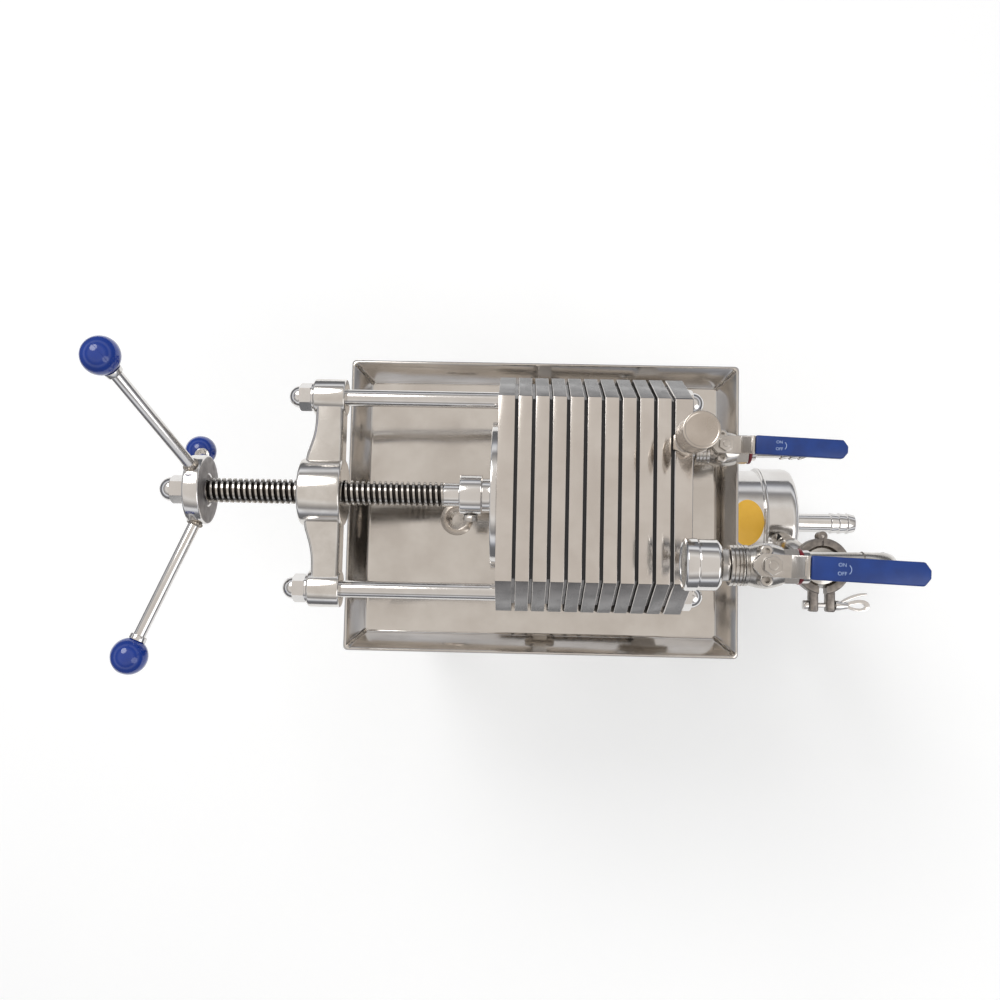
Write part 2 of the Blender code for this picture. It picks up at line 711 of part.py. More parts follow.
def build_rods(steel):
    """Make the two tie rods with their cap nuts."""
    left = YOKE_RIGHT - YOKE_END_BOSS_LENGTH - FIT
    right = FIXED_THICKNESS + FIT
    overlap = CAP_NUT_HEX_HEIGHT
    for side, label in ((1, "far"), (-1, "near")):
        y = side * ROD_HALF_SPACING
        bar = rod_shape(left - overlap, right + overlap, ROD_DIAMETER, SMALL_SEGMENTS)
        rod = add_object("tie_rod_" + label, bar, steel, place(0, y, 0))
        for direction, x in ((-1, left), (1, right)):
            end = "left" if direction < 0 else "right"
            for shape in cap_nut_shapes(f"rod_nut_{label}_{end}", x, y, direction):
                fuse(rod, shape)


def build_yoke(steel):
    """Make the cast yoke: three bosses joined by waisted arms."""
    yoke = add_object("yoke", rod_shape(-YOKE_BOSS_LENGTH, 0.0, YOKE_BOSS_DIAMETER, SEGMENTS,
                                        YOKE_EDGE_RADIUS), steel, place(YOKE_RIGHT, 0, 0))
    height = YOKE_ARM_HEIGHT / 2
    shoulder = YOKE_BOSS_DIAMETER / 2
    half = [(0.0, -YOKE_ARM_ROOT_DEPTH - YOKE_ARM_BULGE)]
    half.append((shoulder * 0.8, -YOKE_ARM_ROOT_DEPTH - YOKE_ARM_BULGE * 0.7))
    waist_start = shoulder * 1.15
    waist_end = ROD_HALF_SPACING - YOKE_END_BOSS_DIAMETER * 0.4
    for k in range(YOKE_WAIST_STEPS + 1):
        t = k / YOKE_WAIST_STEPS
        dip = YOKE_WAIST_DIP * math.sin(math.pi * t)
        depth = YOKE_ARM_ROOT_DEPTH + (YOKE_ARM_TIP_DEPTH - YOKE_ARM_ROOT_DEPTH) * t
        half.append((waist_start + (waist_end - waist_start) * t, -depth + dip))
    half.append((ROD_HALF_SPACING, -YOKE_ARM_TIP_DEPTH))
    half.append((ROD_HALF_SPACING, -YOKE_ARM_SET_IN))
    half.append((0.0, -YOKE_ARM_SET_IN))
    outline = half + [(-y, x) for y, x in reversed(half) if y > 1e-9]
    arms = raised([(x, y) for y, x in outline], -height, height)
    web = add_object("yoke_arms", arms, None, place(YOKE_RIGHT, 0, 0))
    soften(web, YOKE_ARM_ROUNDING, 2)
    fuse(yoke, web)
    for side, label in ((1, "far"), (-1, "near")):
        end = add_object("yoke_boss_" + label,
                         rod_shape(-YOKE_END_BOSS_LENGTH, -YOKE_END_SET_IN, YOKE_END_BOSS_DIAMETER, SEGMENTS,
                                   YOKE_EDGE_RADIUS), None,
                         place(YOKE_RIGHT, side * ROD_HALF_SPACING, 0))
        fuse(yoke, end)
        bore = add_object("yoke_bore_" + label,
                          rod_shape(-2 * YOKE_END_BOSS_LENGTH, YOKE_END_BOSS_LENGTH, ROD_DIAMETER + 2 * FIT,
                                    SMALL_SEGMENTS), None, place(YOKE_RIGHT, side * ROD_HALF_SPACING, 0))
        cut(yoke, bore)
    bore = add_object("yoke_screw_bore",
                      rod_shape(-2 * YOKE_BOSS_LENGTH, YOKE_BOSS_LENGTH, SCREW_DIAMETER + 2 * FIT), None,
                      place(YOKE_RIGHT, 0, 0))
    cut(yoke, bore)


def build_screw(steel, blue, polished):
    """Make the screw, the star handle on its end and the thrust head that it turns in."""
    pivot = add_pivot("screw_pivot", place(NECK_LEFT, 0, 0))
    thread = SCREW_DIAMETER / 2
    neck = SCREW_NECK_DIAMETER / 2
    journal = JOURNAL_DIAMETER / 2
    seat = HUB_BORE_DIAMETER / 2 - FIT
    hub_right = HUB_RIGHT - NECK_LEFT
    hub_left = HUB_LEFT - NECK_LEFT - FIT
    profile = [(hub_left - CAP_NUT_WASHER_THICKNESS, 0.0), (hub_left - CAP_NUT_WASHER_THICKNESS, seat)]
    profile += [(hub_right + FIT, seat), (hub_right + FIT, thread), (0.0, thread), (0.0, neck)]
    profile += [(SCREW_NECK_LENGTH, neck), (SCREW_NECK_LENGTH, journal)]
    profile += [(SCREW_NECK_LENGTH + JOURNAL_LENGTH, journal), (SCREW_NECK_LENGTH + JOURNAL_LENGTH, 0.0)]
    screw = add_object("screw", turned(profile), steel, place(NECK_LEFT, 0, 0), pivot)
    for shape in cap_nut_shapes("hub_nut", HUB_LEFT - FIT, 0.0, -1, pivot):
        fuse(screw, shape)
    bore = HUB_BORE_DIAMETER / 2
    rim = HUB_DIAMETER / 2
    edge = HUB_EDGE_BREAK
    hub_section = [(-HUB_THICKNESS, bore), (-HUB_THICKNESS, rim - edge), (edge - HUB_THICKNESS, rim),
                   (-edge, rim), (0.0, rim - edge), (0.0, bore)]
    hub = add_object("handle_hub", turned(hub_section, FINE_SEGMENTS), steel, place(HUB_RIGHT, 0, 0), pivot)
    build_handle(steel, blue, pivot, hub)
    build_thrust_head(polished)


def build_handle(steel, blue, pivot, hub):
    """Make the arms, which lean back from the hub, and their balls."""
    middle = HUB_RIGHT - HUB_THICKNESS / 2
    for k, angle in enumerate(BALL_ANGLES, start=1):
        outward = Vector((0, math.sin(angle), math.cos(angle)))
        root = Vector((middle, 0, 0)) + outward * ARM_ROOT_RADIUS
        ball = Vector((BALL_X, 0, 0)) + outward * HANDLE_REACH
        direction = (ball - root).normalized()
        turn = Vector((1, 0, 0)).rotation_difference(direction).to_matrix().to_4x4()
        seat = BALL_DIAMETER / 2 - BALL_FLAT_DEPTH
        length = (ball - root).length - seat
        arm = rod_shape(0.0, length - FIT, ARM_DIAMETER, SMALL_SEGMENTS)
        add_object(f"handle_arm_{k}", arm, steel, place(*root), pivot, turn)
        hole = rod_shape(-FIT, HUB_DIAMETER / 2, ARM_DIAMETER + 2 * FIT, SMALL_SEGMENTS)
        socket = add_object(f"hub_socket_{k}", hole, None, place(*root), pivot, turn)
        cut(hub, socket)
        add_ball(f"handle_ball_{k}", ball, direction, blue, pivot, seat)


def add_ball(name, centre, direction, blue, pivot, seat):
    """Make a ball knob with a small flat where its arm enters."""
    radius = BALL_DIAMETER / 2
    first = math.degrees(math.acos(seat / radius))
    profile = [(-seat, 0.0)]
    for k in range(BALL_STEPS):
        angle = math.radians(180 - first - (180 - first) * k / BALL_STEPS)
        profile.append((radius * math.cos(angle), radius * math.sin(angle)))
    profile.append((radius, 0.0))
    turn = Vector((1, 0, 0)).rotation_difference(direction).to_matrix().to_4x4()
    add_object(name, turned(profile), blue, place(*centre), pivot, turn)


def build_thrust_head(polished):
    """Make the collar that holds the screw's end and the disc that presses the follower."""
    bore = JOURNAL_DIAMETER / 2 + FIT
    depth = JOURNAL_LENGTH + 2 * FIT
    collar = COLLAR_DIAMETER / 2
    neck = COLLAR_NECK_DIAMETER / 2
    disc = THRUST_DISC_DIAMETER / 2
    start = COLLAR_LEFT - DISC_RIGHT
    collar_end = start + COLLAR_LENGTH
    disc_start = collar_end + COLLAR_NECK_LENGTH
    edge = THRUST_EDGE_BREAK
    profile = [(start + depth, 0.0), (start + depth, bore), (start, bore), (start, collar - edge)]
    profile += [(start + edge, collar), (collar_end - edge, collar), (collar_end, collar - edge)]
    profile += [(collar_end, neck), (disc_start, neck), (disc_start, disc - edge)]
    profile += [(disc_start + edge, disc), (0.0, disc), (0.0, 0.0)]
    add_object("thrust_head", turned(profile, FINE_SEGMENTS), polished, place(DISC_RIGHT, 0, 0))


def tray_loop(shape, half_x, half_y, radius, level):
    """Add one rounded rectangle of points at a level."""
    loop = []
    steps = 4
    for sx, sy, first in ((1, 1, 0), (-1, 1, 90), (-1, -1, 180), (1, -1, 270)):
        centre = (sx * (half_x - radius), sy * (half_y - radius))
        for x, y in arc(centre, radius, first, first + 90, steps):
            loop.append(shape.verts.new((x, y, level)))
    return loop


def build_tray(polished, steel):
    """Make the flared drip tray with its hemmed rim and its drain."""
    half_x = TRAY_LENGTH / 2
    half_y = TRAY_WIDTH / 2
    hem = TRAY_HEM_WIDTH
    shape = bmesh.new()
    floor_x = half_x - TRAY_FLARE
    floor_y = half_y - TRAY_FLARE
    sheet = TRAY_SHEET
    corner = TRAY_CORNER_RADIUS
    low_corner = TRAY_FLOOR_CORNER_RADIUS
    rings = [
        tray_loop(shape, floor_x, floor_y, low_corner, 0.0),
        tray_loop(shape, half_x - hem, half_y - hem, corner - hem * 0.5, TRAY_DEPTH),
        tray_loop(shape, half_x, half_y, corner, TRAY_DEPTH),
        tray_loop(shape, half_x, half_y, corner, TRAY_DEPTH - TRAY_HEM_HEIGHT),
        tray_loop(shape, half_x - hem + sheet, half_y - hem + sheet, corner - hem * 0.5 + sheet,
                  TRAY_DEPTH - TRAY_HEM_HEIGHT),
        tray_loop(shape, floor_x + sheet, floor_y + sheet, low_corner + sheet, -sheet),
    ]
    for first, second in zip(rings, rings[1:]):
        count = len(first)
        for k in range(count):
            shape.faces.new((first[k], first[(k + 1) % count], second[(k + 1) % count], second[k]))
    shape.faces.new(rings[0])
    shape.faces.new(rings[-1])
    tray = add_object("drip_tray", shape, polished, place(TRAY_CENTRE_X, TRAY_CENTRE_Y, TRAY_FLOOR_LEVEL))
    through = rod_shape(-TRAY_DEPTH, TRAY_DEPTH, DRAIN_PIPE_DIAMETER + 2 * FIT)
    hole = add_object("tray_hole", through, None, place(DRAIN_X, DRAIN_Y, TRAY_FLOOR_LEVEL), turn=UP)
    cut(tray, hole)
    bore = DRAIN_BORE_DIAMETER / 2
    pipe = DRAIN_PIPE_DIAMETER / 2
    flange = DRAIN_FLANGE_DIAMETER / 2
    profile = [(-DRAIN_DROP, bore), (-DRAIN_DROP, pipe), (FIT, pipe), (FIT, flange)]
    profile += [(DRAIN_EDGE_HEIGHT, flange), (DRAIN_RIM_HEIGHT, flange - DRAIN_RIM_SLOPE)]
    profile += [(DRAIN_RIM_HEIGHT, bore + DRAIN_RIM_SLOPE), (DRAIN_EDGE_HEIGHT, bore)]
    add_object("tray_drain", turned(profile), steel, place(DRAIN_X, DRAIN_Y, TRAY_FLOOR_LEVEL), turn=UP)


def build_supports(steel):
    """Make the foot under the fixed plate and the posts under the rods."""
    floor = TRAY_FLOOR_LEVEL + FIT
    top = -PLATE_HALF_HEIGHT - FIT
    middle = FIXED_THICKNESS / 2
    half = FOOT_FLANGE_LENGTH / 2
    flange_top = floor + FOOT_FLANGE_THICKNESS
    outline = [(middle - half, floor), (middle + half, floor), (middle + half, flange_top)]
    outline += [(FIXED_THICKNESS + FOOT_WEB_SPREAD, flange_top), (FIXED_THICKNESS, top), (0.0, top)]
    outline += [(-FOOT_WEB_SPREAD, flange_top), (middle - half, flange_top)]
    add_object("head_foot", side_profile(outline, FOOT_WIDTH / 2), steel, place(0, 0, 0))
    post_top = -ROD_DIAMETER / 2 - FIT
    for side, label in ((1, "far"), (-1, "near")):
        half_x = ROD_POST_LENGTH / 2
        half_y = ROD_POST_WIDTH / 2
        post = add_object("rod_post_" + label,
                          block((-half_x, -half_y, floor), (half_x, half_y, post_top)), steel,
                          place(ROD_POST_X, side * ROD_HALF_SPACING, 0))
        reach = ROD_POST_FLANGE / 2
        flange = add_object("rod_post_flange_" + label,
                            block((-reach, -half_y - ROD_POST_FLANGE_OVERHANG, floor),
                                  (reach, half_y + ROD_POST_FLANGE_OVERHANG,
                                   floor + ROD_POST_FLANGE_THICKNESS)), None,
                            place(ROD_POST_X, side * ROD_HALF_SPACING, 0))
        fuse(post, flange)


def build_stand(steel, rubber):
    """Make the four legs with their feet and the shelf for the motor."""
    top = TRAY_UNDERSIDE - FIT
    floor = -AXIS_HEIGHT
    leg_x = TRAY_LENGTH / 2 - LEG_INSET_X
    leg_y = TRAY_WIDTH / 2 - LEG_INSET_Y - TRAY_FLARE
    half = LEG_SIZE / 2
    stem_bottom = floor + FOOT_HEIGHT
    tube_bottom = stem_bottom + FIT + FOOT_STEM_LENGTH
    for sx, end in ((-1, "left"), (1, "right")):
        for sy, side in ((1, "far"), (-1, "near")):
            name = f"{end}_{side}"
            centre = place(TRAY_CENTRE_X + sx * leg_x, TRAY_CENTRE_Y + sy * leg_y, 0)
            tube = block((-half, -half, tube_bottom), (half, half, top))
            leg = add_object("leg_" + name, tube, steel, centre)
            soften(leg, LEG_EDGE_RADIUS)
            bolt = rod_shape(stem_bottom + FIT, tube_bottom + FOOT_STEM_HOLD, FOOT_STEM_DIAMETER,
                             SMALL_SEGMENTS)
            stem = add_object("leg_stem_" + name, bolt, None, centre, turn=UP)
            fuse(leg, stem)
            radius = FOOT_DIAMETER / 2
            top_radius = FOOT_STEM_DIAMETER / 2 + FOOT_TOP_BORDER
            profile = [(floor, 0.0), (floor, radius), (floor + FOOT_EDGE_HEIGHT, radius),
                       (stem_bottom, top_radius), (stem_bottom, 0.0)]
            add_object("foot_" + name, turned(profile, SMALL_SEGMENTS), rubber, centre, turn=UP)
    inner_y = leg_y - half - FIT
    left = TRAY_CENTRE_X - leg_x - half
    right = TRAY_CENTRE_X + leg_x + half + SHELF_OVERHANG
    sheet = SHELF_SHEET
    depth = SHELF_LIP
    outline = [(-inner_y, 0.0), (inner_y, 0.0), (inner_y, -depth), (inner_y - sheet, -depth)]
    outline += [(inner_y - sheet, -sheet), (-inner_y + sheet, -sheet), (-inner_y + sheet, -depth)]
    outline += [(-inner_y, -depth)]
    shelf = extruded(outline, left, right)
    add_object("motor_shelf", shelf, steel, place(0, TRAY_CENTRE_Y, SHELF_TOP_LEVEL))


def build_feed_line(steel):
    """Make the lower pipe, its port, the elbow down and the ferrule at the clamp."""
    start = Vector((FIXED_THICKNESS + FIT, FEED_Y, PORT_LEVEL))
    corner = Vector((FEED_DROP_X, FEED_DROP_Y, PORT_LEVEL))
    run = (corner - start).normalized()
    bend = FEED_ELBOW_RADIUS
    bend_start = corner - run * bend
    route = [start, start.lerp(bend_start, 0.5)]
    for k in range(BEND_STEPS + 1):
        angle = math.pi / 2 * k / BEND_STEPS
        route.append(bend_start + run * bend * math.sin(angle) - Vector((0, 0, bend * (1 - math.cos(angle)))))
    ferrule_face = CLAMP_LEVEL + FIT / 2
    route.append(Vector((corner.x, corner.y, ferrule_face + FERRULE_LIP)))
    route = [spot - start for spot in route]
    pipe = add_object("feed_pipe", swept(route, FEED_PIPE_DIAMETER), steel, place(*start))
    boss_shape = rod_shape(0.0, PORT_BOSS_LENGTH, PORT_BOSS_DIAMETER)
    boss = add_object("feed_port_boss", boss_shape, None, place(*start))
    fuse(pipe, boss)
    ferrule = add_object("feed_ferrule", turned(ferrule_profile()), None,
                         place(corner.x, corner.y, ferrule_face), turn=UP)
    fuse(pipe, ferrule)


def ferrule_profile():
    """Return the section of a clamp ferrule, from its face up into the pipe."""
    radius = FERRULE_DIAMETER / 2
    pipe = FEED_PIPE_DIAMETER / 2
    return [(0.0, 0.0), (0.0, radius), (FERRULE_LIP, radius), (FERRULE_SLOPE_END, FERRULE_SLOPE_RADIUS),
            (FERRULE_NECK_END, pipe + FERRULE_NECK_WALL), (FERRULE_LENGTH, pipe + FERRULE_NECK_WALL / 2),
            (FERRULE_LENGTH, 0.0)]


def build_clamp(cast, steel):
    """Make the two-piece clamp ring with its lugs and hinge."""
    outer = CLAMP_OUTER_DIAMETER / 2
    inner = outer - CLAMP_WALL
    half = CLAMP_HEIGHT / 2
    edge = CLAMP_EDGE_BREAK
    profile = [(-half, inner - CLAMP_HOOK), (-half, outer - edge), (-half + edge, outer),
               (half - edge, outer), (half, outer - edge), (half, inner - CLAMP_HOOK)]
    groove = FERRULE_DIAMETER / 2 + FIT
    thickness = FERRULE_THICKNESS + 3 * FIT
    profile += [(thickness, groove), (-thickness, groove)]
    centre = place(FEED_DROP_X, FEED_DROP_Y, CLAMP_LEVEL)
    ring = add_object("clamp_ring", turned(profile), cast, centre, turn=UP)
    gap = CLAMP_SPLIT / 2
    slit = block((-gap, -2 * outer, -CLAMP_HEIGHT), (gap, -inner + CLAMP_WALL, CLAMP_HEIGHT))
    split = add_object("clamp_split", slit, None, centre)
    cut(ring, split)
    for side, label in ((-1, "left"), (1, "right")):
        near_x = side * CLAMP_LUG_GAP / 2
        far_x = near_x + side * CLAMP_LUG_THICKNESS
        root = -outer + CLAMP_LUG_ROOT
        low = (min(near_x, far_x), root - CLAMP_LUG_LENGTH, -half + CLAMP_LUG_SET_IN)
        high = (max(near_x, far_x), root, half - CLAMP_LUG_SET_IN)
        lug = add_object("clamp_lug_" + label, block(low, high), None, centre)
        soften(lug, CLAMP_LUG_ROUNDING)
        fuse(ring, lug)
    knuckle = rod_shape(CLAMP_HINGE_SET_IN - half, half - CLAMP_HINGE_SET_IN, CLAMP_HINGE_DIAMETER,
                        SMALL_SEGMENTS)
    hinge_place = centre + Vector((0, outer + CLAMP_HINGE_OFFSET, 0))
    hinge = add_object("clamp_hinge", knuckle, None, hinge_place, turn=UP)
    fuse(ring, hinge)
    bolt_place = centre + Vector((0, -outer - CLAMP_BOLT_OFFSET, 0))
    through = rod_shape(-outer, outer, CLAMP_BOLT_HOLE_DIAMETER, SMALL_SEGMENTS)
    hole = add_object("clamp_bolt_hole", through, None, bolt_place)
    cut(ring, hole)
    build_clamp_bolt(steel, bolt_place)


def build_clamp_bolt(steel, centre):
    """Make the clamp's bolt with its head and the looped wing nut."""
    lug_face = CLAMP_LUG_GAP / 2 + CLAMP_LUG_THICKNESS + CLAMP_NUT_CLEARANCE
    head_end = -lug_face - CLAMP_BOLT_HEAD_HEIGHT
    hub_end = lug_face + WING_HUB_LENGTH
    shank = rod_shape(head_end, hub_end, CLAMP_BOLT_DIAMETER, SMALL_SEGMENTS)
    bolt = add_object("clamp_bolt", shank, steel, centre)
    head_shape = rod_shape(head_end, -lug_face, CLAMP_BOLT_HEAD_DIAMETER, SMALL_SEGMENTS)
    head = add_object("clamp_bolt_head", head_shape, None, centre)
    fuse(bolt, head)
    hub_profile = [(lug_face, 0.0), (lug_face, WING_HUB_DIAMETER / 2), (hub_end, WING_HUB_TIP_DIAMETER / 2),
                   (hub_end, 0.0)]
    hub = add_object("wing_nut_hub", turned(hub_profile, SMALL_SEGMENTS), None, centre)
    fuse(bolt, hub)
    half = WING_THICKNESS / 2
    outline = [(hub_end - WING_HUB_LENGTH / 2, WING_HUB_TIP_DIAMETER / 2)]
    outline += [(hub_end - WING_HUB_LENGTH / 2, -WING_HUB_TIP_DIAMETER / 2)]
    outline += loop_outline(WING_LOOP_RADIUS, WING_LOOP_RISE, -110, 110)
    wing = add_object("wing_loop", raised(outline, -half, half), None, centre)
    fuse(bolt, wing)
    hole_outline = loop_outline(WING_HOLE_RADIUS, WING_HOLE_RISE, 0, 330)
    hole = add_object("wing_hole", raised(hole_outline, -WING_THICKNESS, WING_THICKNESS), None, centre)
    cut(bolt, hole)


def loop_outline(radius, rise, first, last):
    """Return a stretched arc of the wing nut's loop."""
    points = arc((0.0, rise), radius, first, last, SMALL_SEGMENTS - 1)
    return [(WING_LOOP_CENTRE + x * WING_LOOP_STRETCH, y) for x, y in points]


def build_riser(steel):
    """Make the riser with the tee that carries the gauge and the upper valve."""
    foot = PORT_LEVEL + FEED_PIPE_DIAMETER / 2 + FIT
    run = (RISER_X - FIXED_THICKNESS) / (FEED_DROP_X - FIXED_THICKNESS)
    pipe_y = FEED_Y + (FEED_DROP_Y - FEED_Y) * run
    top = GAUGE_LEVEL
    widest = max(VALVE_RING_DIAMETER, GAUGE_NUT_ACROSS * 2 / math.sqrt(3))
    shoulder = top - widest / 2 - RISER_SHOULDER_CLEARANCE
    radius = RISER_DIAMETER / 2
    neck = TEE_LENGTH / 2 - 2 * FIT
    slope = RISER_SHOULDER_LENGTH
    profile = [(foot, 0.0), (foot, radius - RISER_FOOT_STEP), (foot + slope, radius),
               (shoulder - slope, radius), (shoulder, neck), (top, neck), (top, 0.0)]
    riser = add_object("riser", turned(profile), steel, place(RISER_X, pipe_y, 0), turn=UP)
    ring = TEE_DIAMETER / 2
    groove = ring - RING_GROOVE_DEPTH
    reach = RING_GROOVE_HALF_WIDTH
    half = TEE_LENGTH / 2
    ring_profile = [(-half, 0.0), (-half, ring), (-reach, ring), (-reach, groove), (reach, groove),
                    (reach, ring), (half, ring), (half, 0.0)]
    tee = add_object("riser_tee", turned(ring_profile), None, place(RISER_X, GAUGE_Y, GAUGE_LEVEL))
    fuse(riser, tee)


def build_gauge(steel):
    """Make the gauge case, its dial side towards the handle, and its square neck."""
    case = GAUGE_CASE_DIAMETER / 2
    length = GAUGE_CASE_LENGTH
    bezel = GAUGE_BEZEL_LENGTH
    glass = case - GAUGE_GLASS_BORDER
    edge = GAUGE_EDGE_BREAK
    shell = case - GAUGE_BEZEL_STEP
    profile = [(GAUGE_GLASS_DEPTH, 0.0), (GAUGE_GLASS_DEPTH, glass), (0.0, glass), (0.0, case - edge),
               (edge, case), (bezel, case), (bezel, shell), (length - GAUGE_BACK_SLOPE_LENGTH, shell),
               (length, case - GAUGE_BACK_SLOPE_HEIGHT), (length, 0.0)]
    gauge = add_object("pressure_gauge", turned(profile, FINE_SEGMENTS), steel,
                       place(GAUGE_FRONT_X, GAUGE_Y, GAUGE_LEVEL))
    neck_end = RISER_X - TEE_LENGTH / 2 - FIT - GAUGE_FRONT_X
    nut = add_object("gauge_nut", extruded(hexagon(GAUGE_NUT_ACROSS), length - edge, neck_end), None,
                     place(GAUGE_FRONT_X, GAUGE_Y, GAUGE_LEVEL))
    fuse(gauge, nut)


def build_valve(name, x, y, level, ring_end, steel, blue, polished):
    """Make one ball valve, with its stem pad, lever and grip, from its left face at x."""
    ring = VALVE_RING_DIAMETER / 2
    body = VALVE_BODY_DIAMETER / 2
    body_end = ring_end + VALVE_BODY_LENGTH
    hex_end = body_end + VALVE_HEX_LENGTH
    groove = ring - RING_GROOVE_DEPTH
    groove_x = ring_end / 2
    profile = [(0.0, 0.0), (0.0, ring), (groove_x - RING_GROOVE_HALF_WIDTH, ring), (groove_x, groove),
               (groove_x + RING_GROOVE_HALF_WIDTH, ring), (ring_end, ring)]
    ball = VALVE_BALL_DIAMETER / 2
    middle = (ring_end + body_end) / 2
    reach = VALVE_BODY_LENGTH / 2
    for k in range(5):
        t = -1 + 2 * k / 4
        profile.append((middle + t * reach, body + (ball - body) * math.cos(t * math.pi / 2)))
    core_end = hex_end - VALVE_HEX_LIP
    profile += [(body_end, body - RING_GROOVE_DEPTH), (core_end, body - VALVE_HEX_SET_IN), (core_end, 0.0)]
    valve = add_object(name + "_body", turned(profile), steel, place(x, y, level))
    flats = add_object(name + "_hex", extruded(hexagon(VALVE_HEX_ACROSS), body_end, hex_end), None,
                       place(x, y, level))
    soften(flats, VALVE_HEX_EDGE_BREAK)
    fuse(valve, flats)
    stem_x = x + middle - VALVE_STEM_SET_BACK
    pad_half = VALVE_PAD_LENGTH / 2
    pad_side = VALVE_PAD_WIDTH / 2
    pad_shape = block((-pad_side, -pad_half, VALVE_PAD_BASE), (pad_side, pad_half, VALVE_PAD_HEIGHT))
    pad = add_object(name + "_pad", pad_shape, None, place(stem_x, y, level))
    soften(pad, VALVE_PAD_ROUNDING, 2)
    fuse(valve, pad)
    stem_top = LEVER_LEVEL - FIT
    stem = add_object(name + "_stem", rod_shape(0.0, stem_top, VALVE_STEM_DIAMETER, SMALL_SEGMENTS), None,
                      place(stem_x, y, level), turn=UP)
    fuse(valve, stem)
    pivot = add_pivot(name + "_pivot", place(stem_x, y, level))
    build_lever(name, pivot, stem_x, y, level, polished, blue)
    return x + hex_end


def build_lever(name, pivot, x, y, level, steel, blue):
    """Make a stepped lever, the nut over the stem and the moulded grip."""
    yaw = Matrix.Rotation(LEVER_REST_YAW, 4, "Z")
    sheet = LEVER_SHEET
    rise = LEVER_STEP_RISE
    base = LEVER_LEVEL
    tongue_end = GRIP_START + GRIP_LENGTH * LEVER_TONGUE_SHARE
    side = [(-LEVER_HEEL, base), (LEVER_STEP_START, base), (LEVER_STEP_END, base + rise)]
    side += [(GRIP_START - FIT, base + rise)]
    top = [(px, pz + sheet) for px, pz in reversed(side)]
    half = LEVER_WIDTH / 2
    lever = add_object(name + "_lever", side_profile(side + top, half), steel, place(x, y, level), pivot, yaw)
    for s, label in ((1, "far"), (-1, "near")):
        outside = s * (half + sheet)
        corner = [(-LEVER_HEEL - sheet, outside), (-LEVER_HEEL + LEVER_HEEL_TRIM + sheet, outside),
                  (-LEVER_HEEL - sheet, s * (half - LEVER_HEEL_TRIM - sheet))]
        trim = raised(corner, base - sheet, base + 2 * sheet)
        tool = add_object(f"{name}_heel_{label}", trim, None, place(x, y, level), pivot, yaw)
        cut(lever, tool)
    tongue_half = LEVER_TONGUE_WIDTH / 2
    tongue_low = base + rise + LEVER_TONGUE_INSET
    tongue_high = base + rise + sheet - LEVER_TONGUE_INSET
    tongue = add_object(name + "_tongue",
                        block((GRIP_START - LEVER_TONGUE_ROOT, -tongue_half, tongue_low),
                              (tongue_end, tongue_half, tongue_high)), None,
                        place(x, y, level), pivot, yaw)
    fuse(lever, tongue)
    nut_shape = extruded(hexagon(LEVER_NUT_ACROSS), base + sheet / 2, base + sheet + LEVER_NUT_HEIGHT)
    nut = add_object(name + "_nut", nut_shape, None, place(x, y, level), pivot, yaw @ UP)
    fuse(lever, nut)
    build_grip(name, pivot, x, y, level, blue, yaw, tongue_end)


def build_grip(name, pivot, x, y, level, blue, yaw, tongue_end):
    """Make the moulded grip with its clipped far corners and the slot for the lever."""
    middle = LEVER_LEVEL + LEVER_STEP_RISE + LEVER_SHEET / 2
    half = GRIP_WIDTH / 2
    corner = GRIP_CORNER
    start = GRIP_START
    end = GRIP_START + GRIP_LENGTH
    slant = corner * GRIP_CORNER_SLANT
    outline = [(start, -half), (end - corner, -half), (end, -half + slant)]
    outline += [(end, half - slant), (end - corner, half), (start, half)]
    shape = raised(outline, middle - GRIP_THICKNESS / 2, middle + GRIP_THICKNESS / 2)
    grip = add_object(name + "_grip", shape, blue, place(x, y, level), pivot, yaw)
    soften(grip, GRIP_EDGE_RADIUS, 2)
    slot_side = LEVER_TONGUE_WIDTH / 2 + FIT
    slot_half = LEVER_SHEET / 2 - LEVER_TONGUE_INSET + FIT
    slot = add_object(name + "_slot",
                      block((start - GRIP_CORNER, -slot_side, middle - slot_half),
                            (tongue_end + FIT, slot_side, middle + slot_half)), None,
                      place(x, y, level), pivot, yaw)
    cut(grip, slot)


def build_seal(name, x, y, level, red):
    """Make the coloured seal ring after a valve."""
    radius = SEAL_DIAMETER / 2
    add_object(name, rod_shape(0.0, SEAL_THICKNESS, 2 * radius, SEGMENTS, SEAL_EDGE_BREAK), red,
               place(x, y, level))
    return x + SEAL_THICKNESS


def barb_profile(shank, shank_radius, barb_radius, barb_length, count, bore):
    """Return the section of a hose tail from its shoulder to its open end."""
    shoulder = barb_radius + TAIL_SHOULDER_RISE
    points = [(0.0, bore), (0.0, shoulder), (TAIL_SHOULDER_LENGTH, shoulder)]
    points.append((TAIL_SHOULDER_LENGTH + TAIL_SHOULDER_SLOPE, shank_radius))
    x = shank
    points.append((x, shank_radius))
    for k in range(count):
        root = shank_radius if k < count - 1 else shank_radius - BARB_END_TAPER
        points += [(x + barb_length * BARB_CREST_SHARE, barb_radius), (x + barb_length, root)]
        x += barb_length
    points.append((x, bore))
    return points


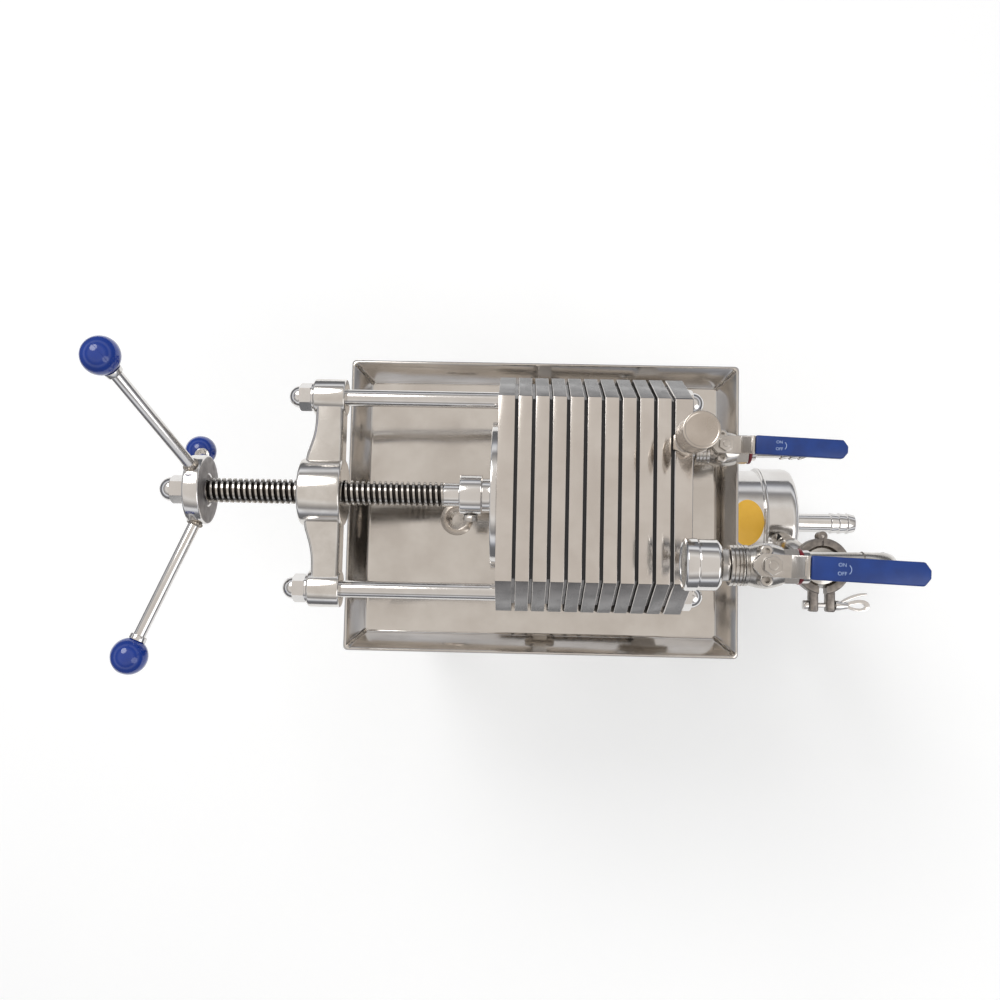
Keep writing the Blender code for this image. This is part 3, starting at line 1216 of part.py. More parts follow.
def build_outlet(steel, blue, polished, red):
    """Make the outlet port, the lower valve and its hose tail."""
    start = FIXED_THICKNESS + FIT
    nipple_end = OUTLET_VALVE_X - FIT
    boss = PORT_BOSS_DIAMETER / 2
    nipple = RISER_DIAMETER / 2
    profile = [(0.0, 0.0), (0.0, boss), (PORT_BOSS_LENGTH, boss), (PORT_BOSS_LENGTH, nipple),
               (nipple_end - start, nipple), (nipple_end - start, 0.0)]
    add_object("outlet_port", turned(profile), steel, place(start, OUTLET_Y, PORT_LEVEL))
    end = build_valve("outlet_valve", OUTLET_VALVE_X, OUTLET_Y, PORT_LEVEL, OUTLET_RING_LENGTH,
                      steel, blue, polished)
    end = build_seal("outlet_seal", end + FIT, OUTLET_Y, PORT_LEVEL, red)
    profile = barb_profile(TAIL_SHANK, TAIL_DIAMETER / 2, TAIL_BARB_DIAMETER / 2, TAIL_BARB_LENGTH,
                           TAIL_BARB_COUNT, TAIL_BORE_DIAMETER / 2)
    tail = turned(profile, SMALL_SEGMENTS)
    add_object("hose_tail", tail, polished, place(end + FIT, OUTLET_Y, PORT_LEVEL))


def build_bleed(steel, blue, polished, red):
    """Make the upper valve and its short nozzle."""
    start = RISER_X + TEE_LENGTH / 2 + FIT
    end = build_valve("bleed_valve", start, GAUGE_Y, GAUGE_LEVEL, BLEED_RING_LENGTH,
                      steel, blue, polished)
    end = build_seal("bleed_seal", end + FIT, GAUGE_Y, GAUGE_LEVEL, red)
    bore = NOZZLE_BORE_DIAMETER / 2
    nozzle = NOZZLE_DIAMETER / 2
    shoulder = NOZZLE_SHOULDER_DIAMETER / 2
    profile = [(0.0, bore), (0.0, shoulder), (NOZZLE_SHOULDER_LENGTH, shoulder)]
    profile += [(NOZZLE_SHOULDER_LENGTH + NOZZLE_SHOULDER_SLOPE, nozzle), (NOZZLE_LENGTH, nozzle)]
    profile.append((NOZZLE_LENGTH, bore))
    tip = turned(profile, SMALL_SEGMENTS)
    add_object("bleed_nozzle", tip, polished, place(end + FIT, GAUGE_Y, GAUGE_LEVEL))


def build_vent(steel):
    """Make the vent with its knob-like cap on the fixed plate."""
    stem = VENT_STEM_DIAMETER / 2
    neck = VENT_NECK_DIAMETER / 2
    cap = VENT_CAP_DIAMETER / 2
    hex_end = FIT + VENT_HEX_HEIGHT
    neck_end = hex_end + VENT_NECK_LENGTH
    top = neck_end + VENT_CAP_HEIGHT
    waist = neck - VENT_HEX_SET_IN
    edge = VENT_EDGE_BREAK
    crown = VENT_TOP_ROUNDING
    profile = [(-VENT_STEM_LENGTH, 0.0), (-VENT_STEM_LENGTH, stem), (FIT, stem), (FIT, waist),
               (hex_end, waist), (hex_end, neck), (neck_end, neck), (neck_end, cap - edge),
               (neck_end + edge, cap), (top - crown, cap), (top, cap - crown), (top, 0.0)]
    seat = place(FIXED_THICKNESS / 2, VENT_Y, PLATE_HALF_HEIGHT)
    vent = add_object("vent_cap", turned(profile), steel, seat, turn=UP)
    flats = add_object("vent_hex", extruded(hexagon(VENT_HEX_ACROSS), FIT, hex_end), None, seat, turn=UP)
    fuse(vent, flats)


def build_pump(polished, steel):
    """Make the pump casing, its suction tail and the bent discharge pipe."""
    front = PUMP_DIAMETER / 2
    rear = PUMP_REAR_DIAMETER / 2
    edge = PUMP_EDGE_RADIUS
    cover_start = -PUMP_COVER_LENGTH
    seam_start = cover_start - PUMP_SEAM_LENGTH
    rear_start = seam_start - PUMP_REAR_LENGTH
    seam = front + PUMP_SEAM_RISE
    profile = [(rear_start, 0.0), (rear_start, rear), (seam_start, rear), (seam_start, seam),
               (cover_start, seam), (cover_start, front)]
    profile += [(-edge + edge * math.sin(math.radians(a)), front - edge + edge * math.cos(math.radians(a)))
                for a in (0, 18, 36, 54, 72, 90)]
    profile.append((0.0, 0.0))
    casing = add_object("pump_casing", turned(profile, FINE_SEGMENTS), polished,
                        place(PUMP_FRONT_X, PUMP_Y, PUMP_LEVEL))
    profile = barb_profile(SUCTION_SHANK, SUCTION_DIAMETER / 2, SUCTION_BARB_DIAMETER / 2,
                           SUCTION_BARB_LENGTH, SUCTION_BARB_COUNT, SUCTION_BORE_DIAMETER / 2)
    add_object("suction_tail", turned(profile), polished, place(PUMP_FRONT_X + FIT, PUMP_Y, PUMP_LEVEL))
    build_discharge(steel, casing)
    return PUMP_FRONT_X + rear_start


def build_discharge(steel, casing):
    """Make the pipe that leaves the top of the casing and bends out to the clamp."""
    offset = DISCHARGE_ROOT_Y - PUMP_Y
    rise = math.sqrt((PUMP_DIAMETER / 2) ** 2 - offset ** 2)
    root = Vector((DISCHARGE_ROOT_X, DISCHARGE_ROOT_Y, PUMP_LEVEL + rise - DISCHARGE_ROOT_DEPTH))
    knee = Vector((DISCHARGE_ROOT_X, DISCHARGE_ROOT_Y, PUMP_LEVEL + rise + DISCHARGE_KNEE_HEIGHT))
    face = CLAMP_LEVEL - FIT / 2
    end = Vector((FEED_DROP_X, FEED_DROP_Y, face - FERRULE_LIP))
    upper = Vector((FEED_DROP_X, FEED_DROP_Y, face - DISCHARGE_STRAIGHT_END))
    route = [root]
    for k in range(BEND_STEPS + 1):
        t = k / BEND_STEPS
        blend = t * t * (3 - 2 * t)
        route.append(Vector((knee.x + (upper.x - knee.x) * blend, knee.y + (upper.y - knee.y) * blend,
                             knee.z + (upper.z - knee.z) * t)))
    route.append(end)
    route = [spot - root for spot in route]
    pipe = add_object("discharge_pipe", swept(route, DISCHARGE_PIPE_DIAMETER), steel, place(*root))
    profile = [(-x, radius) for x, radius in ferrule_profile()]
    ferrule = add_object("discharge_ferrule", turned(profile), None,
                         place(end.x, end.y, face), turn=UP)
    fuse(pipe, ferrule)
    seat = rod_shape(-FIT, PUMP_DIAMETER / 2, DISCHARGE_PIPE_DIAMETER + 2 * FIT)
    tool = add_object("discharge_seat", seat, None, place(*root), turn=UP)
    cut(casing, tool)


def build_motor(paint, steel, rear_x):
    """Make the finned motor on its foot, with its terminal box."""
    radius = MOTOR_DIAMETER / 2
    flange = MOTOR_FLANGE_DIAMETER / 2
    front = -FIT
    body_start = front - MOTOR_FLANGE_THICKNESS - MOTOR_LENGTH
    cowl_end = body_start + MOTOR_COWL_LENGTH
    rounding = MOTOR_COWL_ROUNDING
    cowl = radius + MOTOR_COWL_RISE
    profile = [(body_start, 0.0), (body_start, radius - rounding), (body_start + rounding, cowl),
               (cowl_end, cowl), (cowl_end, radius - MOTOR_FIN_HEIGHT)]
    profile += [(front - MOTOR_FLANGE_THICKNESS, radius - MOTOR_FIN_HEIGHT),
                (front - MOTOR_FLANGE_THICKNESS, flange), (front, flange), (front, 0.0)]
    motor = add_object("motor", turned(profile), paint, place(rear_x, PUMP_Y, PUMP_LEVEL))
    fin_start = cowl_end + MOTOR_FIN_END_GAP
    fin_end = front - MOTOR_FLANGE_THICKNESS - MOTOR_FIN_END_GAP
    fin_depth = MOTOR_FIN_HEIGHT + MOTOR_FIN_ROOT
    comb = bmesh.new()
    for k in range(MOTOR_FIN_COUNT):
        angle = math.tau * (k + 0.5) / MOTOR_FIN_COUNT
        fin = bmesh.ops.create_cube(comb, size=1.0)["verts"]
        bmesh.ops.scale(comb, vec=(fin_end - fin_start, MOTOR_FIN_WIDTH, fin_depth), verts=fin)
        lift = radius - fin_depth / 2
        bmesh.ops.translate(comb, vec=((fin_start + fin_end) / 2, 0, lift), verts=fin)
        bmesh.ops.rotate(comb, cent=(0, 0, 0), matrix=Matrix.Rotation(angle, 3, "X"), verts=fin)
    fins = add_object("motor_fins", comb, None, place(rear_x, PUMP_Y, PUMP_LEVEL))
    fuse(motor, fins)
    foot_z = SHELF_TOP_LEVEL + FIT - PUMP_LEVEL
    middle = (fin_start + fin_end) / 2
    half_x = MOTOR_FOOT_LENGTH / 2
    half_y = MOTOR_FOOT_WIDTH / 2
    foot_top = foot_z + MOTOR_FOOT_THICKNESS
    foot_shape = block((middle - half_x, -half_y, foot_z), (middle + half_x, half_y, foot_top))
    foot = add_object("motor_foot", foot_shape, None, place(rear_x, PUMP_Y, PUMP_LEVEL))
    fuse(motor, foot)
    stand_half = MOTOR_PEDESTAL_WIDTH / 2
    pedestal_shape = block((middle - half_x + FIT, -stand_half, foot_z + FIT),
                           (middle + half_x - FIT, stand_half, -radius * MOTOR_PEDESTAL_REACH))
    pedestal = add_object("motor_pedestal", pedestal_shape, None, place(rear_x, PUMP_Y, PUMP_LEVEL))
    fuse(motor, pedestal)
    box_half = TERMINAL_BOX_LENGTH / 2
    box_side = TERMINAL_BOX_WIDTH / 2
    box_shape = block((middle - box_half, -box_side, radius * TERMINAL_BOX_SEAT),
                      (middle + box_half, box_side, radius + TERMINAL_BOX_HEIGHT))
    box = add_object("motor_box", box_shape, None, place(rear_x, PUMP_Y, PUMP_LEVEL))
    soften(box, TERMINAL_BOX_ROUNDING, 2)
    fuse(motor, box)


def build_model():
    """Build the whole press."""
    clear_scene()
    steel = make_material("satin_stainless", (0.62, 0.61, 0.60), 1.0, 0.28)
    polished = make_material("polished_stainless", (0.70, 0.69, 0.67), 1.0, 0.10)
    cast = make_material("cast_stainless", (0.45, 0.43, 0.41), 1.0, 0.45)
    blue = make_material("blue_plastic", (0.010, 0.075, 0.400), 0.0, 0.25)
    red = make_material("maroon_seal", (0.180, 0.010, 0.020), 0.0, 0.45)
    rubber = make_material("black_rubber", (0.020, 0.020, 0.022), 0.0, 0.70)
    paint = make_material("motor_paint", (0.30, 0.32, 0.34), 0.2, 0.45)
    build_pack(polished)
    build_rods(polished)
    build_yoke(polished)
    build_screw(steel, blue, polished)
    build_tray(polished, steel)
    build_supports(steel)
    build_stand(steel, rubber)
    build_feed_line(steel)
    build_riser(steel)
    build_gauge(polished)
    build_bleed(steel, blue, polished, red)
    build_outlet(steel, blue, polished, red)
    build_vent(polished)
    build_clamp(cast, steel)
    rear_x = build_pump(polished, steel)
    build_motor(paint, steel, rear_x)


build_model()
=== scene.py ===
import logging
import math
from dataclasses import dataclass
from enum import Enum
from functools import cache
from typing import Callable, Iterable, Optional, Sequence

import bmesh
import bpy
from mathutils import Matrix, Vector


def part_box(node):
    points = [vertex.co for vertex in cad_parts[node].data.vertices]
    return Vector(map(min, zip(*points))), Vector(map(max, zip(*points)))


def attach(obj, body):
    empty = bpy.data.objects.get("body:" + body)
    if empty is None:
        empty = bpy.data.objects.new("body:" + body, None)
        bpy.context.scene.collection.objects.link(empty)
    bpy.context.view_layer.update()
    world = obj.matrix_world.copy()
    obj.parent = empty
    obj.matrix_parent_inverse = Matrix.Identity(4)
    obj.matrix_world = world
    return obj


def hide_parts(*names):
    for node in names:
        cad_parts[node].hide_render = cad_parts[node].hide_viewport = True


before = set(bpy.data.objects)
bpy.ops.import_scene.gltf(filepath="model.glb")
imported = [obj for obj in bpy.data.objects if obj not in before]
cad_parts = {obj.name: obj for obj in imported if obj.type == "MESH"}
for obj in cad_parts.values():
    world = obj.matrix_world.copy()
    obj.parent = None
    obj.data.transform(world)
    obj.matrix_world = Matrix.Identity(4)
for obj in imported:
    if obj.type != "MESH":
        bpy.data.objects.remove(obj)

LOG = logging.getLogger("press")
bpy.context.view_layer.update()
RIGHT = Vector((1, 0, 0))
FAR = Vector((0, 1, 0))
UP = Vector((0, 0, 1))
BASE = "press_base"

# Places that several sub-assemblies share, from the datum
PORT_X = 0.0153
OUTLET_Y, OUTLET_LEVEL = 0.0505, -0.04
GAUGE_Y, GAUGE_LEVEL = -0.059, 0.152
CLAMP_X, CLAMP_Y, CLAMP_LEVEL = 0.222, -0.053, -0.262
PUMP_Y, PUMP_LEVEL = 0.004, -0.404
ROD_SPACING = 0.0855


def linear(code: str) -> tuple[float, float, float, float]:
    """Turn a hex colour as seen on a screen into linear light."""
    values = [int(code[k:k + 2], 16) / 255 for k in (1, 3, 5)]
    return tuple(v / 12.92 if v <= 0.04045 else ((v + 0.055) / 1.055) ** 2.4 for v in values) + (1.0,)


def datum() -> Vector:
    """Return the point on the screw's axis at the left face of the fixed plate."""
    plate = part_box("fixed_plate")
    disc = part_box("thrust_head")
    return Vector((plate[0].x, (disc[0].y + disc[1].y) / 2, (disc[0].z + disc[1].z) / 2))


DATUM = datum()


def at(x: float, y: float, z: float) -> Vector:
    """Return a place given from the datum."""
    return DATUM + Vector((x, y, z))


def seat(origin: Vector, along: Vector = RIGHT, side: Optional[Vector] = None) -> Matrix:
    """Return a placement whose own X runs along a direction.

    Args:
        origin: Where the placement's origin lies.
        along: The direction of its X.
        side: The direction that its Z leans to.

    Returns:
        The placement as a matrix.
    """
    x = along.normalized()
    lean = side or (RIGHT if abs(x.z) > 0.9 else UP)
    z = (lean - x * lean.dot(x)).normalized()
    placed = Matrix((x, z.cross(x), z)).transposed().to_4x4()
    placed.translation = origin
    return placed


def rounded(points: Sequence[tuple], closed: bool = False, steps: int = 4) -> list[Vector]:
    """Round the corners of an outline.

    Args:
        points: Its corners as (along, across) or (along, across, radius).
        closed: Whether its end joins its start.
        steps: How many chords make one rounded corner.

    Returns:
        The points of the rounded outline.
    """
    result = []
    count = len(points)
    for k, point in enumerate(points):
        here = Vector(point[:2])
        radius = point[2] if len(point) > 2 else 0.0
        if not radius or (not closed and k in (0, count - 1)):
            result.append(here)
            continue
        before = Vector(points[k - 1][:2]) - here
        after = Vector(points[(k + 1) % count][:2]) - here
        reach = radius / math.tan(before.angle(after) / 2)
        reach = min(reach, before.length * 0.48, after.length * 0.48)
        first = here + before.normalized() * reach
        last = here + after.normalized() * reach
        for s in range(steps + 1):
            t = s / steps
            result.append(first.lerp(here, t).lerp(here.lerp(last, t), t))
    return result


def hexagon(across: float, turn: float = 0.0) -> list[tuple[float, float]]:
    """Return the corners of a hexagon of a width across its flats."""
    reach = across / math.sqrt(3)
    angles = [turn + k * math.tau / 6 for k in range(6)]
    return [(reach * math.cos(a), reach * math.sin(a)) for a in angles]


# Finishes


def feed(tree, node, inputs: dict) -> None:
    """Give each named or numbered socket of a node its value or its link."""
    for key, value in inputs.items():
        if isinstance(value, bpy.types.NodeSocket):
            tree.links.new(value, node.inputs[key])
        else:
            node.inputs[key].default_value = value


def add_node(tree, kind: str, inputs: Optional[dict] = None, **settings):
    """Add a shader node.

    Args:
        tree: The node tree it goes in.
        kind: Its type without the ShaderNode prefix.
        inputs: A value or a link for each of its sockets, by name or number.
        settings: Its own settings.

    Returns:
        The node.
    """
    node = tree.nodes.new("ShaderNode" + kind)
    for key, value in settings.items():
        setattr(node, key, value)
    feed(tree, node, inputs or {})
    return node


def start_material(name: str):
    """Make an empty material and return it with its tree, shader and object coordinates."""
    material = bpy.data.materials.new(name)
    material.use_nodes = True
    tree = material.node_tree
    return material, tree, tree.nodes["Principled BSDF"], add_node(tree, "TexCoord").outputs["Object"]


def noise(tree, place, scale: Sequence[float], detail: float = 3.0):
    """Return a noise value whose grains are counted per metre along X, Y and Z."""
    mapped = add_node(tree, "Mapping", {"Vector": place, "Scale": tuple(scale)})
    inputs = {"Vector": mapped.outputs[0], "Scale": 1.0, "Detail": detail}
    return add_node(tree, "TexNoise", inputs).outputs[0]


def spread(tree, value, low: float, high: float, start: float = 0.35, end: float = 0.65):
    """Return a noise value stretched to run from low to high."""
    limits = {"From Min": start, "From Max": end, "To Min": low, "To Max": high}
    return add_node(tree, "MapRange", {"Value": value, **limits}).outputs[0]


def mixed(tree, factor, first, second):
    """Return a blend of two colours."""
    return add_node(tree, "Mix", {0: factor, 6: first, 7: second}, data_type="RGBA").outputs[2]


def bumped(tree, height, depth: float, normal=None):
    """Return a normal raised by a height whose full range is a real depth."""
    under = {} if normal is None else {"Normal": normal}
    return add_node(tree, "Bump", {"Height": height, "Distance": depth, "Strength": 1.0, **under}).outputs[0]


@dataclass(frozen=True)
class Clouded:
    """A finish whose cloudy patches blend two colours and two degrees of roughness."""

    slot: str
    colour: str
    shade: str
    roughness: tuple[float, float]

    def clouds(self, tree, patches) -> dict:
        """Return the colour and the roughness that the patches give."""
        blend = spread(tree, patches, 0.0, 1.0)
        return {"Base Color": mixed(tree, blend, linear(self.colour), linear(self.shade)),
                "Roughness": spread(tree, patches, *self.roughness)}


@dataclass(frozen=True)
class Metal(Clouded):
    """Bare steel with dull patches, brush marks and a slight wave in its sheet."""

    patch: float
    brush: tuple[float, float, float]
    brush_depth: float
    wave: float = 0.03
    wave_depth: float = 0.0
    streak: float = 0.12

    def build(self, name: str):
        """Return the material."""
        material, tree, shader, place = start_material(name)
        clouds = self.clouds(tree, noise(tree, place, [1 / self.patch] * 3, 5.0))
        brushed = noise(tree, place, self.brush, 2.0)
        streaks = add_node(tree, "Math", {0: brushed, 1: self.streak, 2: clouds["Roughness"]},
                           operation="MULTIPLY_ADD")
        normal = bumped(tree, brushed, self.brush_depth)
        if self.wave_depth:
            normal = bumped(tree, noise(tree, place, [1 / self.wave] * 3, 1.0), self.wave_depth, normal)
        feed(tree, shader, {**clouds, "Metallic": 1.0, "Roughness": streaks.outputs[0], "Normal": normal})
        return material


@dataclass(frozen=True)
class Thread:
    """Screw steel that is bright on its crests and dark in its roots: painted shade in the roots, with grease
    smeared over it.
    """

    slot: str
    crest: str
    root: str
    crest_radius: float
    root_radius: float
    smear: tuple[float, float, float] = (60, 240, 240)
    rings: tuple[float, float, float] = (3000, 60, 60)
    ring_depth: float = 6e-6
    roughness: tuple[float, float] = (0.42, 0.16)

    def build(self, name: str):
        """Return the material."""
        material, tree, shader, place = start_material(name)
        centred = add_node(tree, "VectorMath", {0: place, 1: tuple(DATUM)}, operation="SUBTRACT").outputs[0]
        flat = add_node(tree, "VectorMath", {0: centred, 1: (0, 1, 1)}, operation="MULTIPLY").outputs[0]
        radius = add_node(tree, "VectorMath", {0: flat}, operation="LENGTH").outputs["Value"]
        # Painted shade: the colour darkens from the crests down into the roots, and the grease smear below breaks
        # it up
        bare = spread(tree, radius, 0.0, 1.0, self.root_radius, self.crest_radius)
        smear = spread(tree, noise(tree, place, self.smear, 4.0), 0.65, 1.0)
        lit_and_wiped = add_node(tree, "Math", {0: bare, 1: smear}, operation="MULTIPLY").outputs[0]
        colour = mixed(tree, lit_and_wiped, linear(self.root), linear(self.crest))
        feed(tree, shader, {"Metallic": 1.0, "Base Color": colour,
                            "Roughness": spread(tree, lit_and_wiped, *self.roughness, 0.0, 1.0),
                            "Normal": bumped(tree, noise(tree, place, self.rings), self.ring_depth)})
        return material


@dataclass(frozen=True)
class Solid(Clouded):
    """Plastic, rubber, paint or paper with a fine grain."""

    grain: float
    grain_depth: float
    coat: float = 0.0
    coat_roughness: float = 0.04

    def build(self, name: str):
        """Return the material."""
        material, tree, shader, place = start_material(name)
        clouds = self.clouds(tree, noise(tree, place, [1 / (self.grain * 20)] * 3, 4.0))
        normal = bumped(tree, noise(tree, place, [1 / self.grain] * 3), self.grain_depth)
        feed(tree, shader, {**clouds, "Coat Weight": self.coat, "Coat Roughness": self.coat_roughness,
                            "Normal": normal})
        return material


@dataclass(frozen=True)
class Glass:
    """A clear pane with fine scratches."""

    slot: str
    roughness: tuple[float, float]
    tint: tuple[float, float, float, float] = (0.93, 0.95, 0.94, 1.0)
    bending: float = 1.49
    scratches: tuple[float, float, float] = (300, 4000, 300)
    scratch_depth: float = 4e-6

    def build(self, name: str):
        """Return the material."""
        material, tree, shader, place = start_material(name)
        marks = noise(tree, place, self.scratches, 2.0)
        feed(tree, shader, {"Transmission Weight": 1.0, "IOR": self.bending, "Base Color": self.tint,
                            "Roughness": spread(tree, marks, *self.roughness),
                            "Normal": bumped(tree, marks, self.scratch_depth)})
        return material


class Look(Enum):
    """The named finishes of the press."""

    # Mirror-bright turned steel: crisp reflections with faint rings round the axis
    POLISHED = Metal("polished_stainless", "#E2E0DE", "#D6D3D0", (0.03, 0.09), 0.035, (2600, 50, 50), 1e-6)
    # Flat polished plate edges: warm grey, slightly clouded, with fine lines across the pack
    PLATE = Metal("polished_stainless", "#DCD7D2", "#D0CAC4", (0.05, 0.13), 0.03, (70, 2400, 90), 6e-7,
                  0.05, 3e-5)
    # Slanted facets of the plates: the same steel with its colour darkened as painted shade, so they read darker
    # than the tops
    FACET = Metal("polished_stainless", "#6A6767", "#5D5B5B", (0.15, 0.26), 0.02, (1500, 90, 90), 1.5e-6)
    # Sealing faces of the plates: dull steel, its colour darkened as painted shade deep in the gaps
    SEALING_FACE = Metal("satin_stainless", "#6F6B67", "#57534F", (0.42, 0.58), 0.012, (800, 800, 800), 1e-5)
    # Sheet of the tray: bright, wavy from bending, with long scratches
    TRAY = Metal("polished_stainless", "#DCD8D3", "#CFCAC4", (0.02, 0.07), 0.045, (30, 900, 900), 6e-7,
                 0.07, 0.0003)
    # Satin steel of valves and pipes: soft reflections with rings round the axis
    SATIN = Metal("satin_stainless", "#CFCBC6", "#B9B4AE", (0.11, 0.21), 0.02, (2200, 60, 60), 2.5e-6)
    # Satin steel drawn along an upright axis
    UPRIGHT = Metal("satin_stainless", "#CFCBC6", "#B9B4AE", (0.12, 0.22), 0.02, (900, 900, 12), 2.5e-6)
    # Turned upright steel: rings round a standing axis
    TURNED_UPRIGHT = Metal("satin_stainless", "#CDC5BC", "#BAB1A7", (0.14, 0.24), 0.02, (50, 50, 2400), 2e-6)
    # Dull cast ring: brownish grey skin with sand pits
    CAST = Metal("cast_stainless", "#96908A", "#787370", (0.24, 0.38), 0.006, (1400, 1400, 1400), 6e-5)
    # Cast and then polished: bright with a soft wave under it
    CAST_POLISHED = Metal("polished_stainless", "#E2DFDB", "#D2CEC9", (0.04, 0.13), 0.02, (700, 700, 700),
                          1.5e-6, 0.016, 8e-5)
    # Weld metal: rippled, with a straw and grey tint
    WELD = Metal("satin_stainless", "#B7ADA0", "#7F7C7A", (0.26, 0.48), 0.003, (1200, 1200, 1200), 5e-5)
    # Darker, duller face of the hub round the screw
    DARK_FACE = Metal("satin_stainless", "#B4B1B2", "#9B9899", (0.34, 0.46), 0.008, (900, 900, 900), 3e-5)
    # Trapezoidal thread with painted shade and grease in its roots
    THREAD = Thread("satin_stainless", "#CBC6C0", "#2E2A27", 0.011, 0.0085)
    # Glossy blue of the ball knobs
    BALL_BLUE = Solid("blue_plastic", "#0A358F", "#092F80", (0.12, 0.2), 0.0012, 4e-6, 0.4)
    # Dipped blue sleeve of the valve levers
    GRIP_BLUE = Solid("blue_plastic", "#113A84", "#0F3275", (0.34, 0.44), 0.0008, 6e-6)
    # Pale line printed on the sleeves
    GRIP_PRINT = Solid("blue_plastic", "#AFC0DC", "#93A7CB", (0.4, 0.5), 0.0008, 4e-6)
    # Dark red sealing ring
    SEAL = Solid("maroon_seal", "#7A1422", "#5E0E1A", (0.32, 0.45), 0.0008, 1e-5)
    # Black gasket and foot rubber
    RUBBER = Solid("black_rubber", "#232324", "#2D2D2E", (0.5, 0.68), 0.0007, 3e-5)
    # Grey enamel of the motor
    ENAMEL = Solid("motor_paint", "#8C9399", "#82898F", (0.3, 0.42), 0.0012, 3e-5)
    # Black moulded cowl and terminal box
    MOULDING = Solid("motor_paint", "#2B2D2F", "#343638", (0.36, 0.48), 0.0009, 3e-5)
    # White dial card
    DIAL = Solid("polished_stainless", "#F1F0EC", "#E4E2DC", (0.4, 0.5), 0.001, 2e-6)
    # Black print on the dial, also used for the painted dark reflection on the pump casing
    INK = Solid("black_rubber", "#151515", "#1C1C1C", (0.45, 0.55), 0.001, 2e-6)
    # Clear scratched pane of the gauge
    PANE = Glass("polished_stainless", (0.04, 0.14))
    # Yellow vinyl dot
    VINYL = Solid("motor_paint", "#FFC847", "#F8BF3D", (0.3, 0.4), 0.0012, 6e-6)


@cache
def material_of(look: Look) -> bpy.types.Material:
    """Return the material of a look, made the first time it is asked for."""
    return look.value.build(look.name.lower())


# Making of shapes


def stand(name: str, data) -> bpy.types.Object:
    """Put a mesh, a curve, a lamp or a camera into the scene."""
    thing = bpy.data.objects.new(name, data)
    bpy.context.scene.collection.objects.link(thing)
    return thing


def settled(thing: bpy.types.Object) -> bpy.types.Object:
    """Return an object with its letters or its modifiers worked out."""
    bpy.context.view_layer.update()
    return thing.evaluated_get(bpy.context.evaluated_depsgraph_get())


def bevel(part: bmesh.types.BMesh, edges: list, width: float, segments: int) -> None:
    """Round some edges of a part."""
    bmesh.ops.bevel(part, geom=edges, offset=width, offset_type="OFFSET", affect="EDGES", segments=segments,
                    profile=0.5, material=-1, clamp_overlap=True)


def sorted_out(items: Iterable) -> tuple[list, list]:
    """Return the vertices and the edges among some items."""
    verts = [item for item in items if isinstance(item, bmesh.types.BMVert)]
    return verts, [item for item in items if isinstance(item, bmesh.types.BMEdge)]


def grow(part: bmesh.types.BMesh, edges: list) -> tuple[list, list]:
    """Extrude some edges where they lie and return the new vertices and edges."""
    return sorted_out(bmesh.ops.extrude_edge_only(part, edges=edges)["geom"])


def circle(part: bmesh.types.BMesh, steps: int, radius: float, placed: Matrix) -> tuple[list, list]:
    """Add a circle and return its vertices and edges."""
    verts = bmesh.ops.create_circle(part, segments=steps, radius=radius, matrix=placed)["verts"]
    return verts, list({edge for vert in verts for edge in vert.link_edges})


def once_round(part: bmesh.types.BMesh, profile: list, steps: int) -> None:
    """Turn a profile once round X."""
    bmesh.ops.spin(part, geom=profile, cent=(0, 0, 0), axis=(1, 0, 0), angle=math.tau, steps=steps,
                   use_merge=True)


